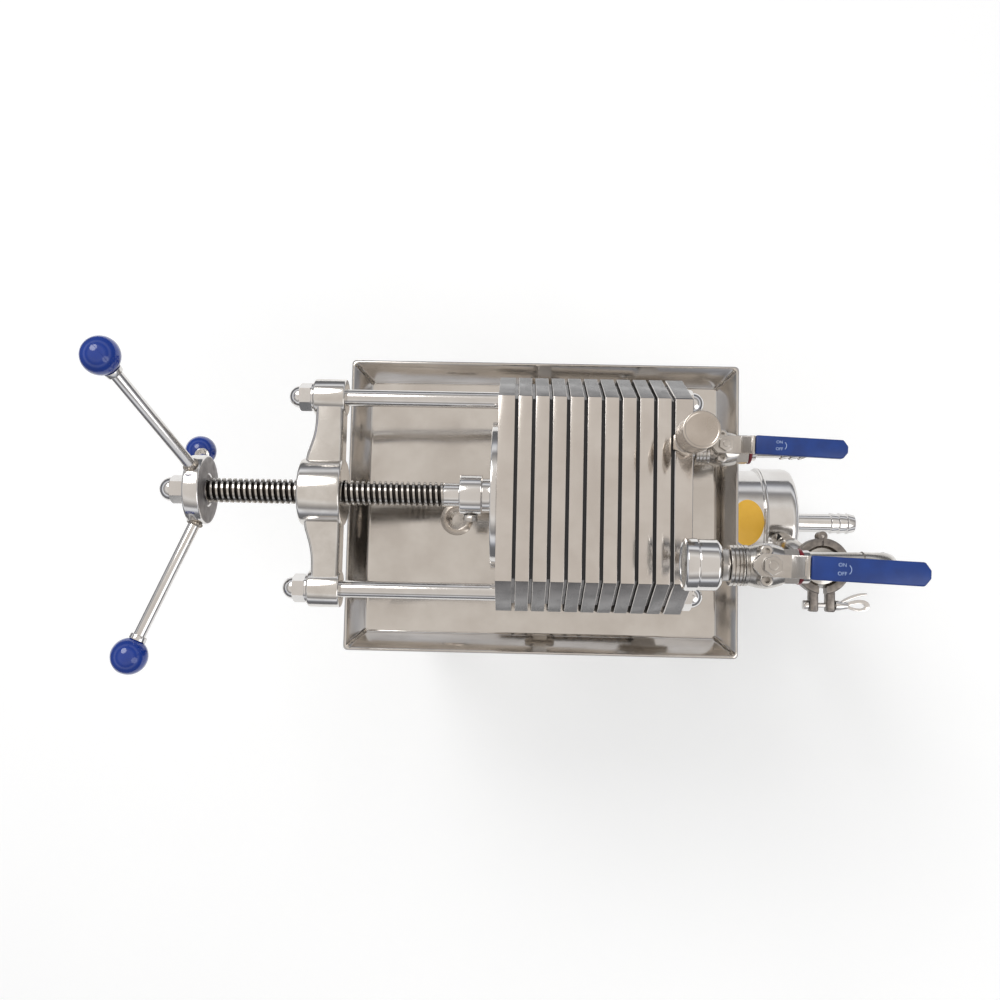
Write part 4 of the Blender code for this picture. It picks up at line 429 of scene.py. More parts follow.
class Shape:
    """A mesh in the making, in the shared frame."""

    def __init__(self, *nodes: str) -> None:
        """Start empty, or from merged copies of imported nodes."""
        self.mesh = bmesh.new()
        for node in nodes:
            self.mesh.from_mesh(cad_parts[node].data)
        if nodes:
            bmesh.ops.remove_doubles(self.mesh, verts=self.mesh.verts, dist=1e-5)
            bmesh.ops.dissolve_limit(self.mesh, angle_limit=math.radians(1), verts=self.mesh.verts,
                                     edges=self.mesh.edges)

    def take(self, part: bmesh.types.BMesh, placed: Matrix) -> "Shape":
        """Add a part made at its own origin."""
        part.transform(placed)
        bmesh.ops.recalc_face_normals(part, faces=part.faces)
        passing = bpy.data.meshes.new("passing")
        part.to_mesh(passing)
        part.free()
        self.mesh.from_mesh(passing)
        bpy.data.meshes.remove(passing)
        return self

    def join(self, other: "Shape") -> "Shape":
        """Add another shape as it is."""
        return self.take(other.mesh, Matrix())

    def lathe(self, placed: Matrix, section: Sequence[tuple], steps: int = 72, ring: bool = False,
              capped: bool = True) -> "Shape":
        """Turn a section round the placement's X.

        Args:
            placed: Where the axis lies.
            section: Corners as (along, radius) or (along, radius, rounding).
            steps: How many facets go round.
            ring: Whether the section closes on itself, as for a piece with a bore.
            capped: Whether the ends of a section that is no ring run in to the axis.

        Returns:
            The shape.
        """
        part = bmesh.new()
        if capped and not ring:
            ends = [[(end[0], 0)] if end[1] else [] for end in (section[0], section[-1])]
            section = ends[0] + list(section) + ends[1]
        verts = [part.verts.new((x, r, 0)) for x, r in rounded(section, ring)]
        pairs = list(zip(verts, verts[1:])) + ([(verts[-1], verts[0])] if ring else [])
        edges = [part.edges.new(pair) for pair in pairs]
        once_round(part, verts + edges, steps)
        bmesh.ops.remove_doubles(part, verts=part.verts, dist=5e-7)
        return self.take(part, placed)

    def prism(self, placed: Matrix, outline: Sequence[tuple], low: float, high: float, ease: float = 0.0,
              segments: int = 2) -> "Shape":
        """Extrude a (y, z) outline along the placement's X and ease its edges."""
        part = bmesh.new()
        base = part.faces.new([part.verts.new((low, y, z)) for y, z in outline])
        moved, _ = sorted_out(bmesh.ops.extrude_face_region(part, geom=[base])["geom"])
        bmesh.ops.translate(part, verts=moved, vec=(high - low, 0, 0))
        if ease:
            bevel(part, part.edges[:], ease, segments)
        return self.take(part, placed)

    def block(self, placed: Matrix, low: Sequence[float], high: Sequence[float], ease: float = 0.0,
              segments: int = 2) -> "Shape":
        """Add a box between two corners."""
        outline = [(low[1], low[2]), (high[1], low[2]), (high[1], high[2]), (low[1], high[2])]
        return self.prism(placed, outline, low[0], high[0], ease, segments)

    def ball(self, centre: Vector, radius: float, rings: int, squash: Sequence[float]) -> "Shape":
        """Add a squashed ball."""
        part = bmesh.new()
        bmesh.ops.create_uvsphere(part, u_segments=2 * rings, v_segments=rings, radius=radius)
        bmesh.ops.scale(part, verts=part.verts, vec=squash)
        return self.take(part, Matrix.Translation(centre))

    def bead(self, placed: Matrix, radius: float, thickness: float, ripples: int = 0,
             steps: int = 96) -> "Shape":
        """Add a round bead about the placement's X, rippled as a weld where ripples are given."""
        part = bmesh.new()
        verts, ring = circle(part, 10, thickness, Matrix.Translation((0, radius, 0)))
        once_round(part, verts + ring, steps)
        if ripples:
            for vert in part.verts:
                angle = math.atan2(vert.co.z, vert.co.y)
                swell = 1 + 0.16 * math.sin(ripples * angle) + 0.08 * math.sin(3 * angle + 1)
                spine = Vector((0, math.cos(angle), math.sin(angle))) * radius
                vert.co = spine + (vert.co - spine) * swell
        return self.take(part, placed)

    def thread(self, placed: Matrix, length: float, major: float, minor: float, pitch: float,
               steps: int = 30) -> "Shape":
        """Cut a right-hand trapezoidal thread of radii major and minor along the placement's X."""
        part = bmesh.new()
        section = [(0, minor), (0.36, minor), (0.5, major), (0.86, major), (1.0, minor)]
        verts = [part.verts.new(((share - 1) * pitch, radius, 0)) for share, radius in section]
        edges = [part.edges.new(pair) for pair in zip(verts, verts[1:])]
        turns = math.ceil(length / pitch) + 2
        bmesh.ops.spin(part, geom=verts + edges, cent=(0, 0, 0), axis=(1, 0, 0), angle=math.tau * turns,
                       steps=steps * turns, dvec=(pitch / steps, 0, 0))
        bmesh.ops.remove_doubles(part, verts=part.verts, dist=5e-6)
        for x, heading in ((0, -1), (length, 1)):
            bmesh.ops.bisect_plane(part, geom=part.verts[:] + part.edges[:] + part.faces[:],
                                   plane_co=(x, 0, 0), plane_no=(heading, 0, 0), clear_outer=True)
        bmesh.ops.holes_fill(part, edges=[edge for edge in part.edges if edge.is_boundary])
        return self.take(part, placed)

    def tube(self, route: Sequence[Vector], radius: float, steps: int = 40) -> "Shape":
        """Sweep a round bar along a route."""
        part = bmesh.new()
        runs = [(b - a).normalized() for a, b in zip(route, route[1:])]
        headings = [runs[0]] + [(a + b).normalized() for a, b in zip(runs, runs[1:])] + [runs[-1]]
        turn = UP.rotation_difference(headings[0]).to_matrix().to_4x4()
        _, ring = circle(part, steps, radius, Matrix.Translation(route[0]) @ turn)
        bmesh.ops.edgeloop_fill(part, edges=ring)
        for k in range(1, len(route)):
            moved, ring = grow(part, ring)
            bend = headings[k - 1].rotation_difference(headings[k]).to_matrix()
            bmesh.ops.translate(part, verts=moved, vec=route[k] - route[k - 1])
            bmesh.ops.rotate(part, verts=moved, cent=route[k], matrix=bend)
        bmesh.ops.edgeloop_fill(part, edges=ring)
        return self.take(part, Matrix())

    def word(self, placed: Matrix, text: str, size: float, depth: float = 5e-5) -> "Shape":
        """Add a raised word whose letters stand in the placement's XY plane."""
        curve = bpy.data.curves.new("word", "FONT")
        curve.body = text
        curve.size = size
        curve.extrude = depth
        curve.align_x = curve.align_y = "CENTER"
        letters = stand("word", curve)
        mesh = bpy.data.meshes.new_from_object(settled(letters))
        part = bmesh.new()
        part.from_mesh(mesh)
        bpy.data.objects.remove(letters)
        bpy.data.curves.remove(curve)
        bpy.data.meshes.remove(mesh)
        bmesh.ops.remove_doubles(part, verts=part.verts, dist=5e-7)
        return self.take(part, placed)

    def ease(self, width: float, segments: int = 2, sharper: float = 30.0,
             where: Optional[Callable] = None) -> "Shape":
        """Round the edges that are sharper than an angle in degrees."""
        edges = [edge for edge in self.mesh.edges
                 if len(edge.link_faces) == 2 and edge.calc_face_angle(0.0) > math.radians(sharper)
                 and (where is None or where(edge))]
        bevel(self.mesh, edges, width, segments)
        return self

    def carve(self, other: "Shape", operation: str = "DIFFERENCE") -> "Shape":
        """Cut another shape out of this one, or join it where the operation says so."""
        pair = []
        for shape in (self, other):
            mesh = bpy.data.meshes.new("carved")
            bmesh.ops.recalc_face_normals(shape.mesh, faces=shape.mesh.faces)
            shape.mesh.to_mesh(mesh)
            pair.append(stand("carved", mesh))
        tool = pair[0].modifiers.new("carve", "BOOLEAN")
        tool.operation = operation
        tool.solver = "EXACT"
        tool.use_self = True
        tool.object = pair[1]
        shaped = settled(pair[0])
        self.mesh.clear()
        self.mesh.from_mesh(shaped.to_mesh())
        shaped.to_mesh_clear()
        other.mesh.free()
        for piece in pair:
            bpy.data.meshes.remove(piece.data)
        return self

    def finish(self, name: str, look: Look, body: str, *nodes: str, crease: float = 32.0,
               spots: Iterable[tuple[Look, Callable]] = ()) -> bpy.types.Object:
        """Turn the shape into a piece of the press.

        Args:
            name: The piece's name.
            look: Its main finish.
            body: The body it moves with.
            nodes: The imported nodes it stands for.
            crease: The angle in degrees over which an edge stays sharp.
            spots: Other finishes, each with a test of the faces that it covers.

        Returns:
            The piece.
        """
        bmesh.ops.recalc_face_normals(self.mesh, faces=self.mesh.faces)
        for index, (_, covers) in enumerate(spots, start=1):
            for face in self.mesh.faces:
                if covers(face):
                    face.material_index = index
        mesh = bpy.data.meshes.new(name)
        self.mesh.to_mesh(mesh)
        self.mesh.free()
        mesh.shade_smooth()
        mesh.set_sharp_from_angle(angle=math.radians(crease))
        for each in [look] + [spot for spot, _ in spots]:
            mesh.materials.append(material_of(each))
        piece = stand(name, mesh)
        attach(piece, body)
        if nodes:
            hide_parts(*nodes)
        LOG.info("%s: %d faces", name, len(mesh.polygons))
        return piece


@dataclass(frozen=True)
class CapNut:
    """A domed hexagon nut on its washer."""

    across: float = 0.022
    height: float = 0.011
    dome: float = 0.01
    washer: float = 0.0264
    washer_height: float = 0.002

    def add(self, shape: Shape, placed: Matrix) -> None:
        """Add the nut, standing out along the placement's X."""
        top = self.washer_height + self.height
        low = self.washer_height
        shape.lathe(placed, [(0, self.washer / 2, 0.0004), (low - 0.0001, self.washer / 2, 0.0006)])
        cone = self.across / math.sqrt(3) + 0.0002
        hexes = Shape().prism(placed, hexagon(self.across), low, top)
        chamfer = [
            (low - 0.001, self.across / 2), (low + 0.0012, cone), (top - 0.0012, cone),
            (top + 0.0012, self.across / 2 - 0.0008)]
        hexes.carve(Shape().lathe(placed, chamfer, 48), "INTERSECT")
        shape.join(hexes)
        dome = [(top - 0.001, self.dome)]
        dome += [(top + 0.0004 + self.dome * math.sin(a), self.dome * math.cos(a))
                 for a in [k * math.pi / 16 for k in range(8)]]
        dome.append((top + 0.0004 + self.dome, 0))
        shape.lathe(placed, dome, 64)


@dataclass(frozen=True)
class HexBolt:
    """A small hexagon head on its washer."""

    across: float = 0.01
    height: float = 0.0042

    def add(self, shape: Shape, placed: Matrix) -> None:
        """Add the head, standing out along the placement's X."""
        shape.lathe(placed, [(0, self.across * 0.58, 0.0003), (0.0011, self.across * 0.58, 0.0003)], 36)
        shape.prism(placed, hexagon(self.across, 0.3), 0.001, self.height, 0.0005)


# Sub-assemblies


@dataclass
class StarHandle:
    """Hub, three arms that lean back and three ball knobs."""

    body: str = "screw_and_handle"
    hub_radius: float = 0.031
    hub_right: float = -0.402
    hub_thickness: float = 0.0148
    bore: float = 0.009
    arm_radius: float = 0.00525
    arm_root: float = 0.0255
    ball_radius: float = 0.0158
    ball_x: float = -0.4564
    reach: float = 0.149
    first_angle: float = 40.0

    def build(self) -> None:
        """Build the hub, the arms and the knobs."""
        middle = self.hub_right - self.hub_thickness / 2
        left = self.hub_right - self.hub_thickness
        hub = Shape().lathe(seat(at(0, 0, 0)), [
            (left, self.bore), (left, self.hub_radius, 0.0022), (self.hub_right, self.hub_radius, 0.0022),
            (self.hub_right, 0.015, 0.0006), (self.hub_right - 0.0012, 0.0142, 0.0006),
            (self.hub_right - 0.0012, self.bore)], 96, ring=True)
        for k in range(3):
            angle = math.radians(self.first_angle + 120 * k)
            outward = Vector((0, math.sin(angle), math.cos(angle)))
            root = at(middle, 0, 0) + outward * self.arm_root
            centre = at(self.ball_x, 0, 0) + outward * self.reach
            along = (centre - root).normalized()
            length = (centre - root).length - self.ball_radius
            placed = seat(root, along)
            arm = Shape().lathe(placed, [
                (0, self.arm_radius), (length + 0.0008, self.arm_radius, 0.0003)], 48)
            inner = self.arm_radius - 0.001
            arm.lathe(placed, [
                (length - 0.0035, inner), (length - 0.0035, 0.0072, 0.0006),
                (length + 0.0012, 0.0076, 0.0006), (length + 0.0012, inner)], 48, capped=False)
            arm.finish(f"arm_{k + 1}", Look.POLISHED, self.body, f"handle_arm_{k + 1}")
            rim = (self.hub_radius - self.arm_root) / along.dot(outward)
            weld = Shape()
            for out, wider, thickness, ripples in ((-0.0002, 0.0003, 0.0016, 17), (0.001, 0, 0.0009, 21)):
                spot = seat(root + along * (rim + out), along, outward)
                weld.bead(spot, self.arm_radius + wider, thickness, ripples)
            weld.finish(f"arm_weld_{k + 1}", Look.WELD, self.body)
            self.build_ball(k, centre, along)
        hub.finish("hub", Look.POLISHED, self.body, "handle_hub", spots=[
            (Look.DARK_FACE, lambda face: face.normal.x > 0.9)])

    def build_ball(self, k: int, centre: Vector, along: Vector) -> None:
        """Build one knob with a flat at its arm and a fine mould seam."""
        flat = math.acos((self.ball_radius - 0.001) / self.ball_radius)
        section = [(-(self.ball_radius - 0.001), 0)]
        for s in range(25):
            angle = math.pi - flat - (math.pi - flat) * s / 24
            section.append((self.ball_radius * math.cos(angle),
                            self.ball_radius * max(0.0, math.sin(angle))))
        knob = Shape().lathe(seat(centre, along), section, 64)
        knob.bead(seat(centre, along.orthogonal()), self.ball_radius - 0.00012, 0.00022)
        knob.finish(f"ball_knob_{k + 1}", Look.BALL_BLUE, self.body, f"handle_ball_{k + 1}")


@dataclass
class PressScrew:
    """Trapezoidal screw with its end nut and neck."""

    body: str = "screw_and_handle"
    left: float = -0.402
    right: float = -0.1904
    radius: float = 0.011
    root: float = 0.0083
    pitch: float = 0.005

    def build(self) -> None:
        """Build the thread, the plain ends and the nut on the hub."""
        plain = Shape()
        nut = CapNut(height=0.014, dome=0.011, washer_height=0.0035)
        nut.add(plain, seat(at(self.left - 0.0151, 0, 0), -RIGHT))
        plain.lathe(seat(at(self.left, 0, 0)), [(-0.0155, 0.0087), (0.0003, 0.0087)])
        plain.lathe(seat(at(self.right, 0, 0)), [
            (-0.0005, 0.0105), (0, 0.0107, 0.0003), (0.0134, 0.0107, 0.0006), (0.0134, 0.008),
            (0.0284, 0.008, 0.0006)])
        plain.finish("screw_ends", Look.POLISHED, self.body)
        length = self.right - self.left - 0.0003
        Shape().thread(seat(at(self.left + 0.0003, 0, 0)), length, self.radius, self.root, self.pitch) \
            .finish("screw_thread", Look.THREAD, self.body, "screw", crease=24)


@dataclass
class ThrustHead:
    """Collar that the screw turns in, with its set bolt, and the disc on the follower."""

    body: str = "pressure_head"
    disc_radius: float = 0.0655
    collar_radius: float = 0.01825

    def build(self) -> None:
        """Build the turned head and its set bolt."""
        head = Shape().lathe(seat(at(-0.1424, 0, 0)), [
            (-0.019, 0.0083), (-0.0343, 0.0083), (-0.0343, self.collar_radius, 0.0012),
            (-0.0148, self.collar_radius, 0.001), (-0.0148, 0.01535, 0.001), (-0.006, 0.01535, 0.002),
            (-0.006, self.disc_radius, 0.0012), (0, self.disc_radius, 0.0003)], 128)
        head.bead(seat(at(-0.1484, 0, 0)), 0.0156, 0.0012, 37)
        head.finish("thrust_head_turned", Look.POLISHED, self.body, "thrust_head")
        bolt = Shape()
        HexBolt(0.012, 0.0058).add(bolt, seat(at(-0.167, -self.collar_radius + 0.0003, 0), -FAR))
        bolt.finish("thrust_bolts", Look.SATIN, self.body)


@dataclass
class Yoke:
    """Cast yoke with three bosses and waisted arms."""

    right: float = -0.2797
    boss_radius: float = 0.0299
    boss_length: float = 0.038
    end_radius: float = 0.0165
    end_length: float = 0.029
    spacing: float = ROD_SPACING
    arm_half_height: float = 0.013
    arm_root: float = 0.033
    arm_tip: float = 0.0265
    bulge: float = 0.003
    waist: float = 0.0022

    def build(self) -> None:
        """Build the casting from an outline of its arms and three turned bosses."""
        half = [
            (0.0, -self.arm_root - self.bulge), (0.8 * self.boss_radius, -self.arm_root - 0.7 * self.bulge)]
        start = 1.15 * self.boss_radius
        end = self.spacing - 0.8 * self.end_radius
        for k in range(13):
            t = k / 12
            dip = self.waist * math.sin(math.pi * t)
            out = self.arm_root - (self.arm_root - self.arm_tip) * t - dip
            half.append((start + (end - start) * t, -out))
        half += [(self.spacing, -self.arm_tip), (self.spacing, -0.0015), (0.0, -0.0015)]
        outline = [(-y, x) for y, x in half] + [(y, x) for y, x in reversed(half) if y]
        placed = seat(at(self.right, 0, 0), UP)
        web = Shape().prism(placed, outline, -self.arm_half_height, self.arm_half_height)
        web.ease(0.0042, 4, 50)
        centre = seat(at(self.right, 0, 0))
        boss = Shape().lathe(centre, [
            (-self.boss_length, self.boss_radius, 0.0026), (0, self.boss_radius, 0.0026)], 96)
        web.carve(boss, "UNION")
        for side in (1, -1):
            placed = seat(at(self.right, side * self.spacing, 0))
            end = Shape().lathe(placed, [
                (-self.end_length, self.end_radius, 0.002), (-0.0004, self.end_radius, 0.002)], 80)
            web.carve(end, "UNION")
            web.carve(Shape().lathe(placed, [(-0.05, 0.0077), (0.02, 0.0077)], 48))
        web.carve(Shape().lathe(centre, [(-0.05, 0.0113), (0.02, 0.0113)], 64))
        bmesh.ops.remove_doubles(web.mesh, verts=web.mesh.verts, dist=2e-5)
        web.finish("yoke_casting", Look.CAST_POLISHED, BASE, "yoke", crease=38)
        bush = Shape().lathe(centre, [
            (-self.boss_length - 0.0006, 0.0113), (-self.boss_length - 0.0006, 0.015, 0.0006),
            (-0.03, 0.015), (-0.03, 0.0113)], 64, ring=True)
        bush.finish("yoke_bush", Look.SATIN, BASE)


@dataclass
class TieRods:
    """Two polished rods with domed nuts at both ends."""

    left: float = -0.309
    right: float = 0.0153
    radius: float = 0.0075
    spacing: float = ROD_SPACING

    def build(self) -> None:
        """Build both rods."""
        for side, label in ((1, "far"), (-1, "near")):
            rod = Shape().lathe(seat(at(0, side * self.spacing, 0)), [
                (self.left, self.radius), (self.right, self.radius)], 64)
            CapNut().add(rod, seat(at(self.left, side * self.spacing, 0), -RIGHT))
            CapNut().add(rod, seat(at(self.right, side * self.spacing, 0)))
            rod.finish("rod_" + label, Look.POLISHED, BASE, "tie_rod_" + label)


@dataclass
class PlatePack:
    """Fixed plate, nine filter plates with their gaskets, and the follower."""

    count: int = 9
    thickness: float = 0.0112
    follower_thickness: float = 0.0133
    ease: float = 0.0004
    near: float = 2e-5
    skin: float = 5e-5

    def build(self) -> None:
        """Dress every plate of the pack."""
        for k in range(1, self.count + 1):
            self.dress(f"filter_plate_{k}", f"plate_{k}", self.thickness, f"plate_skin_{k}")
        self.dress("follower_plate", "pressure_head", self.follower_thickness, "follower_skin")
        self.dress("fixed_plate", BASE, 1.0, "fixed_plate_skin")

    def dress(self, node: str, body: str, thickness: float, name: str) -> None:
        """Copy one plate, ease its edges and give each kind of face its finish, with painted shade on the facets
        and the sealing faces.
        """
        face_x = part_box(node)[0].x + thickness
        past = face_x + self.skin
        spots = [(Look.RUBBER, lambda face: min(v.co.x for v in face.verts) > face_x - self.near
                  and face.calc_center_median().x > past),
                 # The slanted facets get the darkened steel: painted shade
                 (Look.FACET, lambda face: abs(face.normal.x) < 0.05 and 0.2 < face.normal.z < 0.95)]
        if body != BASE:
            # The sealing faces get the darkened steel: painted shade in the gaps between plates
            spots.append((Look.SEALING_FACE, lambda face: abs(face.normal.x) > 0.9
                          and face.calc_center_median().x < past
                          and (body != "pressure_head" or face.normal.x > 0)))
        plate = Shape(node)
        plate.ease(self.ease, 3, 30, lambda edge: max(v.co.x for v in edge.verts) < face_x + self.near)
        plate.finish(name, Look.PLATE, body, node, crease=30, spots=spots)


@dataclass
class DripTray:
    """Flared sheet tray with a rolled rim, welded corners and a round drain."""

    centre: tuple[float, float] = (-0.101, -0.003)
    length: float = 0.3866
    width: float = 0.289
    flare: float = 0.0172
    floor: float = -0.1276
    depth: float = 0.029
    sheet: float = 0.0015
    hem: float = 0.0035
    lip: float = 0.0012
    rim: tuple[tuple[float, float], ...] = (
        (0, 0), (0.0008, 0.001), (0.0018, 0.0012), (0.0029, 0.0008), (0.0035, -0.0004), (0.0035, -0.0023))
    drain: tuple[float, float] = (-0.187, -0.015)

    def build(self) -> None:
        """Build the tray, its corner welds and its drain."""
        part = bmesh.new()
        bmesh.ops.create_grid(part, x_segments=1, y_segments=1, size=0.5)
        floor = [self.length - 2 * self.flare, self.width - 2 * self.flare]
        bmesh.ops.scale(part, verts=part.verts, vec=(*floor, 1))
        edges, level, now = part.edges[:], self.lip - self.depth, floor
        for out, up in self.rim:
            grown = [side + 2 * (self.flare - self.hem + out) for side in floor]
            moved, edges = grow(part, edges)
            bmesh.ops.translate(part, verts=moved, vec=(0, 0, up - level))
            bmesh.ops.scale(part, verts=moved, vec=(grown[0] / now[0], grown[1] / now[1], 1))
            level, now = up, grown
        corners = [edge for edge in part.edges if abs(edge.verts[0].co.z - edge.verts[1].co.z) > 0.0001]
        bevel(part, corners, 0.004, 5)
        foot = [edge for edge in part.edges if all(abs(v.co.z) < 0.0001 for v in edge.verts)]
        bevel(part, foot, 0.0022, 4)
        bmesh.ops.recalc_face_normals(part, faces=part.faces)
        if max(part.faces, key=lambda face: face.calc_area()).normal.z < 0:
            bmesh.ops.reverse_faces(part, faces=part.faces[:])
        bmesh.ops.solidify(part, geom=part.faces[:], thickness=self.sheet)
        tray = Shape().take(part, Matrix.Translation(at(*self.centre, self.floor)))
        spot = at(*self.drain, self.floor)
        tray.carve(Shape().lathe(seat(spot, UP), [(-0.01, 0.0108), (0.01, 0.0108)], 48))
        tray.finish("tray_sheet", Look.TRAY, BASE, "drip_tray", crease=40)
        self.build_welds()
        self.build_drain(spot)

    def build_welds(self) -> None:
        """Lay a rough row of weld beads along each mitred corner."""
        welds = Shape()
        for sx in (-1, 1):
            for sy in (-1, 1):
                ends = ((self.flare + 0.0008, 0.0012), (self.hem + 0.0016, self.depth - 0.0016))
                foot, top = (Vector((sx * (self.length / 2 - inset), sy * (self.width / 2 - inset), z))
                             for inset, z in ends)
                for k in range(17):
                    t = k / 16
                    size = 0.00105 + 0.00035 * math.sin(7.3 * k + sx + 2 * sy)
                    spot = at(*self.centre, self.floor) + foot.lerp(top, t)
                    spot += Vector((0.0003 * math.sin(5 * k), 0.0003 * math.cos(3 * k), 0))
                    welds.ball(spot, size, 5, (1.15, 1.15, 0.9))
        welds.finish("tray_corner_welds", Look.WELD, BASE, crease=60)

    def build_drain(self, spot: Vector) -> None:
        """Build the drain's flange and its short pipe."""
        drain = Shape().lathe(seat(spot, UP), [
            (-0.038, 0.0075), (-0.038, 0.0105, 0.0006), (0.0002, 0.0105), (0.0002, 0.0165, 0.0004),
            (0.0014, 0.0165, 0.0006), (0.003, 0.013, 0.0012), (0.003, 0.011, 0.0012),
            (0.0012, 0.0075, 0.0012)], 72, ring=True)
        for k in range(6):
            x = -0.03 - 0.0012 * k
            drain.bead(seat(spot + UP * x, UP), 0.0105, 0.0005, 0, 48)
        drain.finish("tray_drain_ring", Look.TURNED_UPRIGHT, BASE, "tray_drain")


@dataclass
class Valve:
    """Ball valve with a lever, a blue sleeve and a sealing ring."""

    name: str
    lever_body: str
    left: float
    y: float
    level: float
    ring_length: float
    ring: float = 0.015
    stem_back: float = 0.004
    body: float = 0.014
    body_length: float = 0.025
    ball: float = 0.0165
    hex_across: float = 0.025
    hex_length: float = 0.011
    yaw: float = math.radians(-2.2)
    grip_top: float = 0.048
    mark_x: float = 0.0455

    def build(self) -> None:
        """Build the valve from its ring to its seal, with the lever on top."""
        x = self.ring_length
        end = x + self.body_length
        middle = (x + end) / 2
        groove = [(0, self.ring, 0.0005)]
        for k in (0.003, 0.0062, 0.0094) if x > 0.01 else ():
            groove += [(k - 0.0005, self.ring), (k, self.ring - 0.0008), (k + 0.0005, self.ring)]
        section = groove + [(x, self.ring, 0.0005), (x, self.body - 0.0004)]
        for k in range(13):
            t = -1 + 2 * k / 12
            swell = (self.ball - self.body) * math.cos(t * math.pi / 2)
            section.append((middle + t * self.body_length * 0.5, self.body + swell))
        section += [(end, self.body - 0.0012), (end + self.hex_length - 0.002, self.body - 0.0026, 0.0006)]
        placed = seat(at(self.left, self.y, self.level))
        valve = Shape().lathe(placed, section, 80)
        flats = Shape().prism(placed, hexagon(self.hex_across, math.pi / 6), end,
                              end + self.hex_length - 0.0002)
        reach = self.hex_across / math.sqrt(3)
        tip = end + self.hex_length
        flats.carve(Shape().lathe(placed, [
            (end - 0.001, self.hex_across / 2), (end + 0.0014, reach + 0.0002),
            (tip - 0.0014, reach + 0.0002), (tip + 0.001, self.hex_across / 2)], 64), "INTERSECT")
        valve.join(flats)
        stem = at(self.left + middle - self.stem_back, self.y, self.level)
        self.add_pad(valve, stem)
        valve.finish(self.name + "_valve_casting", Look.SATIN, BASE, self.name + "_valve_body", crease=36)
        self.build_lever(stem)
        self.build_seal(end + self.hex_length)

    def add_pad(self, valve: Shape, stem: Vector) -> None:
        """Add the stem with its two ears, which stop the lever."""
        valve.lathe(seat(stem, UP), [
            (0.008, 0.0078, 0.001), (0.0235, 0.0078, 0.0012), (0.0235, 0.0062, 0.0006),
            (0.03, 0.0062, 0.0008), (0.03, 0.004), (0.0357, 0.004)], 48)
        ears = Shape().block(seat(stem), (-0.0034, -0.0108, 0.012), (0.0034, 0.0108, 0.0215), 0.0012, 3)
        for side in (1, -1):
            spot = stem + FAR * (side * 0.0102)
            ears.carve(Shape().lathe(seat(spot, UP), [
                (0.0115, 0.0044, 0.0008), (0.026, 0.0048, 0.0016)], 40), "UNION")
            ears.carve(Shape().lathe(seat(spot, UP), [(0.02, 0.0021), (0.03, 0.0023)], 28))
        valve.join(ears)

    def build_lever(self, stem: Vector) -> None:
        """Dress the lever with its nut, and the sleeve with its printed line."""
        node = self.name + "_valve_lever"
        lever = Shape(node)
        lever.ease(0.0005, 2, 28)
        lever.lathe(seat(stem, UP), [(0.0388, 0.007, 0.0003), (0.0399, 0.007, 0.0004)], 40)
        lever.lathe(seat(stem, UP), [(0.04, 0.0034), (0.0452, 0.0034, 0.0005)], 32)
        lever.finish(self.name + "_lever_sheet", Look.SATIN, self.lever_body, node, crease=30)
        grip_node = self.name + "_valve_grip"
        Shape(grip_node).ease(0.0007, 3, 24) \
            .finish(self.name + "_sleeve", Look.GRIP_BLUE, self.lever_body, grip_node, crease=40)
        turned = Matrix.Translation(stem) @ Matrix.Rotation(self.yaw, 4, "Z")
        marks = Shape()
        for text, y in (("ON", 0.003), ("OFF", -0.003)):
            marks.word(turned @ Matrix.Translation((self.mark_x, y, self.grip_top)), text, 0.0036)
        turns = [math.radians(-52 + 13 * k) for k in range(9)]
        arc = [(0.004 * math.cos(a), 0.004 * math.sin(a)) for a in turns]
        arc += [(0.0035 * math.cos(a), 0.0035 * math.sin(a)) for a in reversed(turns)]
        spot = Vector((self.mark_x + 0.0025, 0, self.grip_top))
        marks.prism(turned @ seat(spot, UP, FAR), arc, -5e-5, 5e-5)
        marks.finish(self.name + "_marks", Look.GRIP_PRINT, self.lever_body, crease=50)

    def build_seal(self, x: float) -> None:
        """Build the red ring between the valve and its outlet."""
        placed = seat(at(self.left + x + 0.0003, self.y, self.level))
        Shape().lathe(placed, [
            (0, 0.0131, 0.0009), (0.0028, 0.0131, 0.0009)]) \
            .finish(self.name + "_seal_ring", Look.SEAL, BASE, self.name + "_seal")


@dataclass
class HoseTail:
    """Barbed tail that a hose is pushed onto."""

    node: str
    name: str
    y: float
    level: float
    shank: float
    radius: float
    barb: float
    barb_length: float
    bore: float
    count: int = 3

    def build(self) -> None:
        """Build the shoulder, the barbs and the bore."""
        shoulder = self.barb + 0.0012
        section = [
            (0, self.bore), (0, shoulder, 0.0008), (0.004, shoulder, 0.0008), (0.0055, self.radius, 0.001),
            (self.shank, self.radius)]
        x = self.shank
        for k in range(self.count):
            root = self.radius if k < self.count - 1 else self.radius - 0.0008
            section += [
                (x + self.barb_length * 0.1, self.barb, 0.0006), (x + self.barb_length, root, 0.0001)]
            x += self.barb_length
        section += [(x, self.bore, 0.0005)]
        start = at(0, self.y, self.level)
        start.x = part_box(self.node)[0].x
        Shape().lathe(seat(start), section, 72, ring=True) \
            .finish(self.name, Look.POLISHED, BASE, self.node, crease=28)


